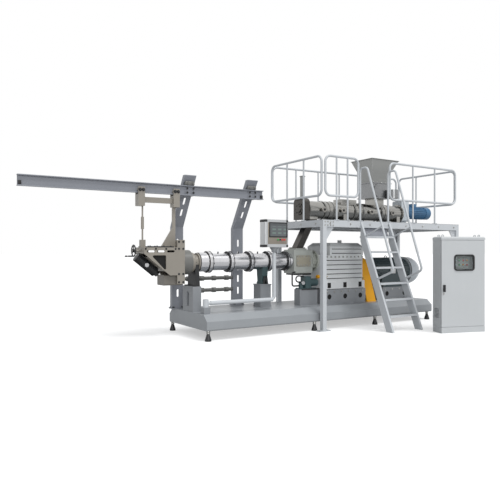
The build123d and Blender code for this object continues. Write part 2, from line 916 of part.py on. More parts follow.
# Main motor: nose, finned frame, feet, terminal box and lifting eye
with BuildPart() as main_motor:
    with BuildSketch(motor_plane):
        with Locations((guard_end, 0)):
            Rectangle(motor_gap, motor_shaft_radius, align=(Align.MIN, Align.MIN))
        with Locations((motor_start, 0)):
            Rectangle(motor_nose_length, motor_nose_radius, align=(Align.MIN, Align.MIN))
        with Locations((motor_body_start, 0)):
            Rectangle(motor_body_length, motor_body_radius, align=(Align.MIN, Align.MIN))
    revolve(axis=motor_axis)
    with BuildSketch(crosswise(motor_body_start + motor_fin_inset, axis_y, drive_z)):
        with PolarLocations(motor_body_radius, motor_fin_count):
            Rectangle(2 * motor_fin_height, motor_fin_thickness)
    extrude(amount=motor_body_length - 2 * motor_fin_inset)
    with Locations(
        (motor_foot_start, axis_y - motor_foot_spread / 2, motor_seat),
        (motor_foot_start, axis_y + motor_foot_spread / 2, motor_seat),
    ):
        Box(motor_foot_length, motor_foot_width, motor_foot_thickness, align=low)
        Box(motor_foot_length, motor_foot_web, motor_shaft_height - motor_foot_thickness, align=low)
    with Locations((motor_body_start + motor_body_length / 2, axis_y + motor_body_radius, drive_z)):
        Box(
            motor_box_length,
            motor_box_width,
            motor_box_height,
            align=(Align.CENTER, Align.CENTER, Align.MIN),
        )
    motor_eye_z = drive_z + motor_body_radius + motor_fin_height
    with BuildSketch(lengthwise(axis_y)):
        with Locations((motor_body_start + motor_eye_share * motor_body_length, motor_eye_z)):
            Circle(motor_eye_radius)
            Circle(motor_eye_radius - motor_eye_wire, mode=Mode.SUBTRACT)
    extrude(amount=motor_eye_wire / 2, both=True)
main_motor.part.label = "main_motor"
export_step(main_motor.part, "parts/main_motor.step")

# Fan cowl with a domed end
cowl_end = motor_body_end + cowl_side_length + cowl_dome_length
with BuildPart() as motor_fan_cowl:
    with BuildSketch(motor_plane):
        with BuildLine():
            side = Line((motor_body_end, cowl_radius), (motor_body_end + cowl_side_length, cowl_radius))
            dome = EllipticalCenterArc(
                (motor_body_end + cowl_side_length, 0),
                cowl_dome_length,
                cowl_radius,
                start_angle=0,
                arc_size=90,
            )
            Line((cowl_end, 0), (motor_body_end, 0))
            Line((motor_body_end, 0), side @ 0)
        make_face()
    revolve(axis=motor_axis)
motor_fan_cowl.part.label = "motor_fan_cowl"
export_step(motor_fan_cowl.part, "parts/motor_fan_cowl.step")

# Motor pedestal
motor_pedestal_height = motor_seat - base_top
motor_pedestal_middle = motor_foot_start + motor_foot_length / 2
motor_pedestal_width = motor_foot_spread + motor_foot_width + 2 * motor_pedestal_margin
with BuildPart() as motor_pedestal:
    with Locations((motor_pedestal_middle, axis_y, base_top)):
        Box(
            motor_foot_length + 2 * motor_pedestal_margin,
            motor_pedestal_width,
            motor_pedestal_height,
            align=mid,
        )
    for side in (axis_y - motor_pedestal_width / 2, axis_y + motor_pedestal_width / 2):
        with BuildSketch(lengthwise(side)):
            with Locations((motor_pedestal_middle, base_top + motor_pedestal_height / 2)):
                with GridLocations(motor_pedestal_hole_pitch, overrun, motor_pedestal_hole_count, 1):
                    Circle(pedestal_hole_radius)
        extrude(amount=pedestal_hole_depth / 2, both=True, mode=Mode.SUBTRACT)
motor_pedestal.part.label = "motor_pedestal"
export_step(motor_pedestal.part, "parts/motor_pedestal.step")

# Oil pump unit on its stand
oil_middle_y = oil_stand_front + oil_stand_width / 2
with BuildPart() as oil_unit_stand:
    with Locations((oil_stand_station, oil_middle_y, base_top)):
        Box(oil_stand_length, oil_stand_width, oil_stand_height, align=low)
oil_unit_stand.part.label = "oil_unit_stand"
export_step(oil_unit_stand.part, "parts/oil_unit_stand.step")

pump_x = oil_stand_station + oil_stand_length / 2
pump_z = oil_seat + oil_pump_body_height / 2
with BuildPart() as oil_pump_unit:
    with Locations((pump_x, oil_middle_y, oil_seat)):
        Box(oil_pump_body_length, oil_pump_body_width, oil_pump_body_height, align=mid)
    with Locations((oil_stand_station + oil_pump_foot_thickness, oil_middle_y, oil_seat)):
        Box(
            oil_stand_length - 2 * oil_pump_foot_thickness,
            oil_pump_body_width,
            oil_pump_foot_thickness,
            align=low,
        )
    with BuildSketch(crosswise(pump_x + oil_pump_body_length / 2, oil_middle_y, pump_z)):
        Circle(oil_pump_motor_radius)
    extrude(amount=oil_pump_motor_length - oil_pump_foot_thickness)
    with Locations((pump_x - oil_pump_body_length / 2 - oil_filter_radius, oil_middle_y, oil_seat)):
        Cylinder(oil_filter_radius, oil_filter_height, align=mid)
oil_pump_unit.part.label = "oil_pump_unit"
export_step(oil_pump_unit.part, "parts/oil_pump_unit.step")

# Oil pipe: leaves the filter, loops out to the front and enters the end of the feed block
filter_side = pump_x - oil_pump_body_length / 2 - 2 * oil_filter_radius
oil_outlet_z = oil_seat + oil_pipe_lift
oil_port_z = axis_z - feed_below_axis + oil_port_lift
with BuildPart() as oil_pipe:
    with BuildLine() as oil_route:
        FilletPolyline(
            (filter_side, oil_middle_y, oil_outlet_z),
            (filter_side - oil_pipe_reach, oil_middle_y, oil_outlet_z),
            (filter_side - oil_pipe_reach, oil_middle_y, oil_port_z),
            (barrel_end, oil_middle_y, oil_port_z),
            radius=oil_pipe_bend,
        )
    with BuildSketch(Plane(origin=oil_route.line @ 0, z_dir=oil_route.line % 0)):
        Circle(oil_pipe_radius)
    sweep()
oil_pipe.part.label = "oil_pipe"
export_step(oil_pipe.part, "parts/oil_pipe.step")

# Gantry posts: slotted channels that stand at the back and lean forward over the beam
lean_angle = atan2(post_front - beam_back, beam_top - post_bend)
lean_middle_y = (post_front + beam_back) / 2
lean_middle_z = (post_bend + beam_top) / 2
with BuildPart() as gantry_posts:
    for station in (0, post_pitch):
        front_line = [
            (post_front, base_top + post_foot_thickness),
            (post_front, post_bend),
            (post_head_y, post_top),
        ]
        rear_line = [(y + post_depth, z) for y, z in reversed(front_line)]
        inner_line = [(y + post_plate, z) for y, z in front_line]
        far_line = [(y + post_depth + overrun, z) for y, z in reversed(front_line)]
        with BuildSketch(crosswise(station - post_width / 2)):
            with BuildLine():
                Polyline(*front_line, *rear_line, close=True)
            make_face()
        extrude(amount=post_width)
        with BuildSketch(crosswise(station - post_width / 2 + post_plate)):
            with BuildLine():
                Polyline(*inner_line, *far_line, close=True)
            make_face()
        extrude(amount=post_width - 2 * post_plate, mode=Mode.SUBTRACT)
        with BuildSketch(lengthwise(post_front + post_plate / 2)):
            with Locations((station, base_top + post_bend_rise / 2)):
                with GridLocations(overrun, post_slot_pitch, 1, post_slot_count):
                    SlotOverall(post_slot_length, post_slot_width, rotation=90)
        extrude(amount=post_plate, both=True, mode=Mode.SUBTRACT)
        lean_plane = Plane(
            origin=(station, lean_middle_y, lean_middle_z),
            x_dir=(1, 0, 0),
            z_dir=(0, -cos(lean_angle), -sin(lean_angle)),
        )
        with BuildSketch(lean_plane):
            with GridLocations(overrun, post_slot_pitch, 1, post_lean_slot_count):
                SlotOverall(post_slot_length, post_slot_width, rotation=90)
        extrude(amount=2 * post_plate, both=True, mode=Mode.SUBTRACT)
        with BuildSketch(crosswise(station - post_width / 2)):
            with BuildLine():
                Polyline(
                    (beam_back, beam_bottom),
                    (beam_back, beam_top),
                    (post_seat_y, beam_bottom),
                    close=True,
                )
            make_face()
        extrude(amount=post_width)
        with Locations((station, post_front + post_depth / 2, base_top)):
            Box(post_foot_length, post_foot_width, post_foot_thickness, align=mid)
        with Locations((station, post_head_y + post_depth / 2, post_top)):
            Box(post_width, post_depth, post_plate, align=mid)
gantry_posts.part.label = "gantry_posts"
export_step(gantry_posts.part, "parts/gantry_posts.step")

# Overhead beam: rolled I section
with BuildPart() as gantry_beam:
    with BuildSketch(crosswise(beam_left, axis_y, beam_bottom + beam_depth / 2)):
        Rectangle(beam_web_thickness, beam_depth)
        with Locations((0, beam_depth / 2), (0, -beam_depth / 2 + beam_flange_thickness)):
            Rectangle(beam_flange_width, beam_flange_thickness, align=(Align.CENTER, Align.MAX))
    extrude(amount=beam_right - beam_left)
gantry_beam.part.label = "gantry_beam"
export_step(gantry_beam.part, "parts/gantry_beam.step")

# Water pipes with couplings, held between the posts
pipe_start = post_width / 2
pipe_length = post_pitch - post_width
pipe_y = post_front + post_depth / 2
with BuildPart() as water_pipes:
    for rise in (pipe_lower_rise, pipe_upper_rise):
        with BuildSketch(crosswise(pipe_start, pipe_y, base_top + rise)):
            Circle(pipe_radius)
        extrude(amount=pipe_length)
        for share in pipe_coupling_shares:
            coupling_x = pipe_start + share * pipe_length - pipe_coupling_length / 2
            with BuildSketch(crosswise(coupling_x, pipe_y, base_top + rise)):
                Circle(pipe_coupling_radius)
            extrude(amount=pipe_coupling_length)
water_pipes.part.label = "water_pipes"
export_step(water_pipes.part, "parts/water_pipes.step")

# Operator panel: pivot on the skid, swing arm, case with screen and key strip
with BuildPart() as panel_pivot:
    with Locations((arm_pivot_x, arm_pivot_y, base_top)):
        Box(arm_block_size, arm_block_size, arm_block_height - seat_clearance, align=mid)
    with Locations((arm_pivot_x, arm_pivot_y, base_top)):
        Cylinder(arm_pin_radius, arm_block_height + arm_sleeve_height, align=mid)
panel_pivot.part.label = "panel_pivot"
export_step(panel_pivot.part, "parts/panel_pivot.step")

with BuildPart() as panel_arm:
    with BuildLine() as arm_route:
        FilletPolyline(
            (arm_pivot_x, arm_pivot_y, arm_z),
            (pole_x, arm_pivot_y, arm_z),
            (pole_x, arm_pivot_y, pole_top),
            radius=arm_bend,
        )
    with BuildSketch(Plane(origin=arm_route.line @ 0, z_dir=arm_route.line % 0)):
        Circle(arm_tube_radius)
    sweep()
    with Locations((arm_pivot_x, arm_pivot_y, arm_seat)):
        Cylinder(arm_sleeve_radius, arm_sleeve_height, align=mid)
        Cylinder(arm_pin_radius + seat_clearance, arm_sleeve_height, align=mid, mode=Mode.SUBTRACT)
    with Locations((pole_x, arm_pivot_y, pole_top)):
        Cylinder(panel_pin_radius, panel_pin_height, align=mid)
panel_arm.part.label = "panel_arm"
export_step(panel_arm.part, "parts/panel_arm.step")

with BuildPart() as panel_case:
    with Locations((pole_x, arm_pivot_y, panel_bottom)):
        Box(panel_width, panel_depth, panel_height, align=mid)
    fillet(panel_case.edges().filter_by(Axis.Z), radius=panel_edge_round)
    with Locations((pole_x, arm_pivot_y, pole_top + seat_clearance)):
        Cylinder(panel_neck_radius, panel_neck_height - seat_clearance, align=mid)
    with Locations((pole_x, arm_pivot_y, pole_top)):
        Cylinder(
            panel_pin_radius + seat_clearance,
            panel_pin_height + seat_clearance,
            align=mid,
            mode=Mode.SUBTRACT,
        )
    with BuildLine() as grip_route:
        grip_x = pole_x + panel_width / 2
        grip_low = panel_bottom + panel_height / 2 - panel_grip_height / 2
        grip_high = grip_low + panel_grip_height
        FilletPolyline(
            (grip_x - panel_grip_radius, arm_pivot_y, grip_low),
            (grip_x + panel_grip_reach, arm_pivot_y, grip_low),
            (grip_x + panel_grip_reach, arm_pivot_y, grip_high),
            (grip_x - panel_grip_radius, arm_pivot_y, grip_high),
            radius=panel_grip_bend,
        )
    with BuildSketch(Plane(origin=grip_route.line @ 0, z_dir=grip_route.line % 0)):
        Circle(panel_grip_radius)
    sweep()
panel_case.part.label = "panel_case"
export_step(panel_case.part, "parts/panel_case.step")

screen_middle = panel_bottom + panel_height - panel_screen_drop - panel_screen_height / 2
with BuildPart() as panel_screen:
    with BuildSketch(lengthwise(panel_front)):
        with Locations((pole_x + panel_screen_shift, screen_middle)):
            Rectangle(panel_screen_width, panel_screen_height)
    extrude(amount=panel_screen_thickness)
panel_screen.part.label = "panel_screen"
export_step(panel_screen.part, "parts/panel_screen.step")

strip_middle = panel_bottom + panel_strip_lift + panel_strip_height / 2
with BuildPart() as panel_key_strip:
    with BuildSketch(lengthwise(panel_front)):
        with Locations((pole_x + panel_strip_shift, strip_middle)):
            Rectangle(panel_strip_width, panel_strip_height)
    extrude(amount=panel_strip_thickness)
    with BuildSketch(lengthwise(panel_front)):
        with Locations((pole_x + panel_strip_shift, strip_middle)):
            with GridLocations(panel_button_pitch, overrun, panel_button_count, 1):
                Circle(panel_button_radius)
    extrude(amount=panel_strip_thickness + panel_button_height)
panel_key_strip.part.label = "panel_key_strip"
export_step(panel_key_strip.part, "parts/panel_key_strip.step")

# Platform legs with foot plates and knee plates
leg_left = platform_start + leg_size / 2
leg_right = platform_end - leg_size / 2
leg_front = platform_front + leg_size / 2
leg_back = platform_back - leg_size / 2
leg_places = (
    (leg_left, leg_front, 1),
    (leg_left + leg_back_shift, leg_back, 1),
    (leg_right, leg_front, -1),
    (leg_right, leg_back, -1),
)
with BuildPart() as platform_legs:
    for x, y, inward in leg_places:
        with Locations((x, y, 0)):
            Box(leg_size, leg_size, channel_bottom, align=mid)
            Box(leg_plate_length, leg_plate_width, leg_plate_thickness, align=mid)
        with BuildSketch(lengthwise(y)):
            with BuildLine():
                Polyline(
                    (x + inward * leg_size / 2, channel_bottom),
                    (x + inward * (leg_size / 2 + leg_gusset_run), channel_bottom),
                    (x + inward * leg_size / 2, channel_bottom - leg_gusset_rise),
                    close=True,
                )
            make_face()
        extrude(amount=leg_gusset_thickness / 2, both=True)
    with Locations([(x, y, 0) for x, y, inward in leg_places]):
        with GridLocations(leg_hole_pitch, overrun, 2, 1):
            Cylinder(leg_hole_radius, overrun, mode=Mode.SUBTRACT)
platform_legs.part.label = "platform_legs"
export_step(platform_legs.part, "parts/platform_legs.step")

# Platform frame: channel border and cross beams
platform_middle_x = (platform_start + platform_end) / 2
platform_middle_y = (platform_front + platform_back) / 2
platform_width = platform_back - platform_front
cross_pitch = platform_length / (cross_beam_count + 1)
with BuildPart() as platform_frame:
    with BuildSketch(Plane.XY.offset(channel_bottom)):
        with Locations((platform_middle_x, platform_middle_y)):
            Rectangle(platform_length, platform_width)
            Rectangle(
                platform_length - 2 * channel_width,
                platform_width - 2 * channel_width,
                mode=Mode.SUBTRACT,
            )
            with GridLocations(cross_pitch, overrun, cross_beam_count, 1):
                Rectangle(cross_beam_width, platform_width)
    extrude(amount=channel_height)
platform_frame.part.label = "platform_frame"
export_step(platform_frame.part, "parts/platform_frame.step")

# Deck plate with the cut-out for the discharge chute
chute_cut_size = chute_top_size + 2 * chute_flange_margin
with BuildPart() as platform_deck:
    with BuildSketch(Plane.XY.offset(deck_bottom)):
        with Locations((platform_middle_x, platform_middle_y)):
            Rectangle(platform_length, platform_width)
        with Locations((outlet_station, conditioner_y)):
            Rectangle(chute_cut_size, chute_cut_size, mode=Mode.SUBTRACT)
    extrude(amount=deck_thickness)
platform_deck.part.label = "platform_deck"
export_step(platform_deck.part, "parts/platform_deck.step")


def railing_panel(start, end):
    """Closed tube hoop held above the deck by the posts inside it.

    Args:
        start: Plan point of the hoop's first end as (x, y).
        end: Plan point of the hoop's last end as (x, y).

    Returns:
        The finished panel.
    """
    length = hypot(end[0] - start[0], end[1] - start[1])
    run = ((end[0] - start[0]) / length, (end[1] - start[1]) / length)
    post_total = max(int(length / rail_post_spacing), rail_post_least)
    with BuildPart() as panel:
        with BuildLine() as hoop:
            FilletPolyline(
                (*start, rail_middle),
                (*start, rail_top),
                (*end, rail_top),
                (*end, rail_middle),
                radius=rail_bend,
                close=True,
            )
        with BuildSketch(Plane(origin=hoop.line @ 0, z_dir=hoop.line % 0)):
            Circle(rail_radius)
        sweep()
        for number in range(1, post_total):
            place = number * length / post_total
            stands = number % 2 == 1 or number == post_total - 1
            post_foot = deck_height if stands else rail_middle
            with BuildSketch(Plane(origin=(start[0] + run[0] * place, start[1] + run[1] * place, post_foot))):
                Circle(baluster_radius)
            extrude(amount=rail_top - post_foot)
    return panel.part


# Guard rails round the platform, open at the ladder
front_left_panel = railing_panel(
    (rail_left + rail_corner_gap, rail_front),
    (ladder_start - rail_ladder_gap, rail_front),
)
front_right_panel = railing_panel(
    (ladder_end + rail_ladder_gap, rail_front),
    (rail_right - rail_corner_gap, rail_front),
)
with BuildPart() as front_railings:
    add(front_left_panel)
    add(front_right_panel)
front_railings.part.label = "front_railings"
export_step(front_railings.part, "parts/front_railings.step")

side_start = rail_front + rail_corner_gap
side_end = rail_back - rail_corner_gap
left_panel = railing_panel((rail_left, side_start), (rail_left, side_end))
right_panel = railing_panel((rail_right, side_start), (rail_right, side_end))
with BuildPart() as side_railings:
    add(left_panel)
    add(right_panel)
side_railings.part.label = "side_railings"
export_step(side_railings.part, "parts/side_railings.step")

back_panel = railing_panel(
    (rail_left + rail_corner_gap, rail_back),
    (rail_right - rail_corner_gap, rail_back),
)
with BuildPart() as back_railing:
    add(back_panel)
back_railing.part.label = "back_railing"
export_step(back_railing.part, "parts/back_railing.step")

# Access ladder: two stringers and the treads between them
ladder_slope = deck_height / ladder_run
tread_rise = deck_height / (tread_count + 1)
with BuildPart() as access_ladder:
    for x in (ladder_start, ladder_end - stringer_thickness):
        with BuildSketch(crosswise(x)):
            with BuildLine():
                Polyline(
                    (ladder_foot_y, 0),
                    (ladder_foot_y + stringer_foot, 0),
                    (platform_front, deck_height - stringer_foot * ladder_slope),
                    (platform_front, deck_height),
                    close=True,
                )
            make_face()
        extrude(amount=stringer_thickness)
    for number in range(1, tread_count + 1):
        tread_top = number * tread_rise
        tread_y = ladder_foot_y + stringer_foot / 2 + tread_top / ladder_slope
        with Locations((ladder_start + stringer_thickness, tread_y, tread_top - tread_thickness)):
            Box(ladder_width - 2 * stringer_thickness, tread_depth, tread_thickness, align=low)
access_ladder.part.label = "access_ladder"
export_step(access_ladder.part, "parts/access_ladder.step")

# Ladder handrails: reach out from the stringers, run up beside them, stayed halfway, and loop
# down to the deck
handrail_top = deck_height + handrail_top_height
handrail_lift = handrail_reach / ladder_slope
handrail_foot_y = ladder_foot_y + handrail_start_height / ladder_slope
handrail_run = rail_front - handrail_loop - handrail_foot_y + handrail_reach
handrail_climb = handrail_top - handrail_start_height - handrail_lift
stay_foot_y = ladder_foot_y + stay_height / ladder_slope
stay_gap_y = stay_foot_y - handrail_foot_y + handrail_reach
stay_gap_z = stay_height - handrail_start_height - handrail_lift
stay_reach = (stay_gap_y * handrail_climb - stay_gap_z * handrail_run) / (
    handrail_climb + handrail_run / ladder_slope
)
stay_rise = stay_reach / ladder_slope
with BuildPart() as ladder_handrails:
    for x in (ladder_start + stringer_thickness / 2, ladder_end - stringer_thickness / 2):
        with BuildLine() as handrail_route:
            FilletPolyline(
                (x, handrail_foot_y, handrail_start_height),
                (x, handrail_foot_y - handrail_reach, handrail_start_height + handrail_lift),
                (x, rail_front - handrail_loop, handrail_top),
                (x, rail_front, handrail_top),
                (x, rail_front, deck_height),
                radius=handrail_bend,
            )
        with BuildSketch(Plane(origin=handrail_route.line @ 0, z_dir=handrail_route.line % 0)):
            Circle(handrail_radius)
        sweep()
        with BuildLine() as stay_route:
            Line((x, stay_foot_y, stay_height), (x, stay_foot_y - stay_reach, stay_height + stay_rise))
        with BuildSketch(Plane(origin=stay_route.line @ 0, z_dir=stay_route.line % 0)):
            Circle(stay_radius)
        sweep()
ladder_handrails.part.label = "ladder_handrails"
export_step(ladder_handrails.part, "parts/ladder_handrails.step")

# Conditioner: flanged cylinder with rings, ports, lid and the inlet neck
ring_places = [conditioner_start + share * conditioner_length for share in conditioner_ring_shares]
port_places = [conditioner_start + share * conditioner_length for share in conditioner_port_shares]
lid_x = conditioner_start + conditioner_lid_share * conditioner_length
lid_rise = conditioner_radius + conditioner_lid_height
with BuildPart() as conditioner_shell:
    with BuildSketch(conditioner_plane):
        with Locations((conditioner_start, 0)):
            Rectangle(conditioner_length, conditioner_radius, align=(Align.MIN, Align.MIN))
            Rectangle(conditioner_flange_thickness, conditioner_flange_radius, align=(Align.MIN, Align.MIN))
        with Locations((conditioner_end, 0)):
            Rectangle(conditioner_flange_thickness, conditioner_flange_radius, align=(Align.MAX, Align.MIN))
        with Locations([(place, 0) for place in ring_places]):
            Rectangle(conditioner_ring_thickness, conditioner_ring_radius, align=(Align.MIN, Align.MIN))
    revolve(axis=conditioner_axis)
    with BuildSketch(lengthwise(conditioner_y)):
        with Locations([(place, conditioner_z) for place in port_places]):
            Circle(conditioner_port_radius)
    extrude(amount=conditioner_radius + conditioner_port_length)
    with Locations((lid_x, conditioner_y, conditioner_z)):
        Box(conditioner_lid_length, conditioner_lid_width, lid_rise, align=mid)
    with Locations((feeder_station, conditioner_y, conditioner_z)):
        Box(conditioner_inlet_size, conditioner_inlet_size, conditioner_inlet_height, align=mid)
    with Locations((outlet_station, conditioner_y, outlet_bottom)):
        Box(outlet_size, outlet_size, outlet_drop, align=mid)
    for share in saddle_plate_shares:
        plate_x = conditioner_start + share * conditioner_length
        with Locations((plate_x - saddle_plate_length / 2, conditioner_y, deck_height)):
            Box(saddle_plate_length, saddle_plate_width, conditioner_rise, align=low)
        with Locations((plate_x, conditioner_y, deck_height)):
            Box(
                saddle_plate_foot_length,
                saddle_plate_width + saddle_plate_foot,
                saddle_plate_foot,
                align=mid,
            )
conditioner_shell.part.label = "conditioner_shell"
export_step(conditioner_shell.part, "parts/conditioner_shell.step")

# End housing at the conditioner's front end, its vent and the chute to the feed block
with BuildPart() as discharge_box:
    with Locations((discharge_start, conditioner_y, discharge_bottom)):
        Box(discharge_length, discharge_width, discharge_below + discharge_above, align=low)
    fillet(discharge_box.edges().filter_by(Axis.X).group_by(Axis.Z)[-1], radius=discharge_edge_round)
discharge_box.part.label = "discharge_box"
export_step(discharge_box.part, "parts/discharge_box.step")

vent_x = conditioner_start - vent_size / 2 - vent_cap_margin
with BuildPart() as vent_stack:
    with Locations((vent_x, conditioner_y, discharge_top)):
        Box(vent_size, vent_size, vent_height, align=mid)
    with Locations((vent_x, conditioner_y, discharge_top + vent_height)):
        Box(vent_size + 2 * vent_cap_margin, vent_size + 2 * vent_cap_margin, vent_cap_height, align=mid)
vent_stack.part.label = "vent_stack"
export_step(vent_stack.part, "parts/vent_stack.step")

chute_top = outlet_bottom
chute_bottom = feed_seat
chute_flange_size = chute_bottom_size + 2 * chute_flange_margin
with BuildPart() as discharge_chute:
    with BuildSketch(Plane.XY.offset(chute_bottom)):
        with Locations((chute_foot_x, axis_y)):
            Rectangle(chute_bottom_size, chute_bottom_size)
    with BuildSketch(Plane.XY.offset(chute_top)):
        with Locations((outlet_station, conditioner_y)):
            Rectangle(chute_top_size, chute_top_size)
    loft()
    with BuildSketch(Plane.XY.offset(chute_bottom)):
        with Locations((chute_foot_x, axis_y)):
            Rectangle(chute_flange_size, chute_flange_size)
    extrude(amount=chute_flange_thickness)
    with BuildSketch(Plane.XY.offset(chute_top)):
        with Locations((outlet_station, conditioner_y)):
            Rectangle(chute_top_size + chute_flange_margin, chute_top_size + chute_flange_margin)
    extrude(amount=-chute_flange_thickness)
    with BuildSketch(Plane.XY.offset(chute_bottom)):
        with Locations((chute_foot_x, axis_y)):
            Rectangle(chute_bottom_size - 2 * chute_wall, chute_bottom_size - 2 * chute_wall)
    with BuildSketch(Plane.XY.offset(chute_top)):
        with Locations((outlet_station, conditioner_y)):
            Rectangle(chute_top_size - 2 * chute_wall, chute_top_size - 2 * chute_wall)
    loft(mode=Mode.SUBTRACT)
discharge_chute.part.label = "discharge_chute"
export_step(discharge_chute.part, "parts/discharge_chute.step")

# Conditioner drive: gear case on a foot and the blue motor
with BuildPart() as conditioner_gearbox:
    with Locations((conditioner_end, conditioner_y, deck_height + drive_box_foot_height)):
        Box(
            drive_box_length,
            drive_box_width,
            conditioner_rise + drive_box_above - drive_box_foot_height,
            align=low,
        )
    fillet(conditioner_gearbox.edges().filter_by(Axis.X), radius=drive_box_round)
    with Locations((conditioner_end + drive_box_foot_inset, conditioner_y, deck_height)):
        Box(
            drive_box_length - 2 * drive_box_foot_inset,
            drive_box_width - 2 * drive_box_foot_inset,
            drive_box_foot_height,
            align=low,
        )
conditioner_gearbox.part.label = "conditioner_gearbox"
export_step(conditioner_gearbox.part, "parts/conditioner_gearbox.step")

blue_motor_z = conditioner_z + blue_motor_lift
with BuildPart() as conditioner_motor:
    with BuildSketch(crosswise(drive_box_end, conditioner_y, blue_motor_z)):
        Circle(blue_motor_radius)
    extrude(amount=blue_motor_length)
    with BuildSketch(crosswise(drive_box_end, conditioner_y, blue_motor_z)):
        with PolarLocations(blue_motor_radius, blue_motor_fin_count):
            Rectangle(2 * blue_motor_fin_height, blue_motor_fin_thickness)
    extrude(amount=blue_motor_length)
    with BuildSketch(crosswise(drive_box_end + blue_motor_length, conditioner_y, blue_motor_z)):
        Circle(blue_motor_radius + blue_motor_cowl_margin)
    extrude(amount=blue_motor_cowl_length)
conditioner_motor.part.label = "conditioner_motor"
export_step(conditioner_motor.part, "parts/conditioner_motor.step")

# Feeder housing with its rotor end cover and upright drive, under the hopper
feeder_front = conditioner_y - feeder_width / 2
feeder_motor_y = feeder_front - feeder_motor_radius + feeder_motor_sink
with BuildPart() as feeder_housing:
    with Locations((feeder_station, conditioner_y, inlet_top)):
        Box(feeder_length, feeder_width, feeder_height, align=mid)
    with Locations(
        (feeder_station, conditioner_y, inlet_top),
        (feeder_station, conditioner_y, feeder_top - feeder_flange_thickness),
    ):
        Box(
            feeder_length + 2 * feeder_flange_margin,
            feeder_width + 2 * feeder_flange_margin,
            feeder_flange_thickness,
            align=mid,
        )
    with BuildSketch(lengthwise(feeder_front)):
        with Locations((feeder_station + feeder_rotor_shift, inlet_top + feeder_height / 2)):
            Circle(feeder_rotor_radius)
    extrude(amount=feeder_flange_margin)
    with Locations((feeder_station + feeder_motor_shift, feeder_motor_y, inlet_top)):
        Cylinder(feeder_motor_radius, feeder_motor_length, align=mid)
feeder_housing.part.label = "feeder_housing"
export_step(feeder_housing.part, "parts/feeder_housing.step")

# Hopper: neck and bin that flares to the back and to the drive end, open at the top
hopper_top = hopper_seat + hopper_height
hopper_x = feeder_station + hopper_shift_x
hopper_y = conditioner_y + hopper_shift_y
with BuildPart() as feed_hopper:
    with Locations((feeder_station, conditioner_y, feeder_top)):
        Box(feeder_length, feeder_width, hopper_neck_height, align=mid)
    with BuildSketch(Plane.XY.offset(hopper_seat)):
        with Locations((feeder_station, conditioner_y)):
            Rectangle(feeder_length, feeder_width)
    with BuildSketch(Plane.XY.offset(hopper_top)):
        with Locations((hopper_x, hopper_y)):
            Rectangle(hopper_length, hopper_width)
    loft()
    with Locations((hopper_x, hopper_y, hopper_top - hopper_rim_thickness)):
        Box(
            hopper_length + 2 * hopper_rim_margin,
            hopper_width + 2 * hopper_rim_margin,
            hopper_rim_thickness,
            align=mid,
        )
    with Locations((feeder_station, conditioner_y, feeder_top)):
        Box(
            feeder_length - 2 * hopper_wall,
            feeder_width - 2 * hopper_wall,
            hopper_neck_height,
            align=mid,
            mode=Mode.SUBTRACT,
        )
    with BuildSketch(Plane.XY.offset(hopper_seat)):
        with Locations((feeder_station, conditioner_y)):
            Rectangle(feeder_length - 2 * hopper_wall, feeder_width - 2 * hopper_wall)
    with BuildSketch(Plane.XY.offset(hopper_top)):
        with Locations((hopper_x, hopper_y)):
            Rectangle(hopper_length - 2 * hopper_wall, hopper_width - 2 * hopper_wall)
    loft(mode=Mode.SUBTRACT)
feed_hopper.part.label = "feed_hopper"
export_step(feed_hopper.part, "parts/feed_hopper.step")

# Control cabinet: plinth and open-fronted case, canopy, door, window and inside panel
cabinet_plane = Plane(
    origin=(cabinet_x, cabinet_y, 0),
    x_dir=(cos(radians(cabinet_turn)), sin(radians(cabinet_turn)), 0),
    z_dir=(0, 0, 1),
)
case_front = -cabinet_depth / 2 + door_thickness + door_gap
case_depth = cabinet_depth / 2 - case_front
case_top = cabinet_height - cabinet_roof_height
case_height = case_top - cabinet_plinth_height
door_front = -cabinet_depth / 2
door_pin_x = cabinet_width / 2 - door_edge_gap - door_pin_inset
door_pin_y = door_front + door_thickness / 2
with BuildPart(cabinet_plane) as cabinet_case:
    Box(cabinet_width - 2 * cabinet_plinth_inset, cabinet_depth, cabinet_plinth_height, align=mid)
    with Locations((0, case_front, cabinet_plinth_height)):
        Box(cabinet_width, case_depth, case_height, align=(Align.CENTER, Align.MIN, Align.MIN))
    with Locations((0, case_front, cabinet_plinth_height + cabinet_wall)):
        Box(
            cabinet_width - 2 * cabinet_wall,
            case_depth - cabinet_wall,
            case_height - 2 * cabinet_wall,
            align=(Align.CENTER, Align.MIN, Align.MIN),
            mode=Mode.SUBTRACT,
        )
    vent_x_inside = -cabinet_width / 2 + cabinet_wall / 2
    with Locations((vent_x_inside, case_front + case_depth / 2, vent_slot_centre_height)):
        slot_middle = (vent_slot_count - 1) / 2
        slot_steps = [number - slot_middle for number in range(vent_slot_count)]
        with Locations([(0, 0, step * vent_slot_pitch) for step in slot_steps]):
            Box(cabinet_wall + overrun / 2, vent_slot_length, vent_slot_height, mode=Mode.SUBTRACT)
    with Locations((door_pin_x, door_pin_y, cabinet_plinth_height)):
        Cylinder(door_pin_radius, door_pin_length, align=mid)
cabinet_case.part.label = "cabinet_case"
export_step(cabinet_case.part, "parts/cabinet_case.step")

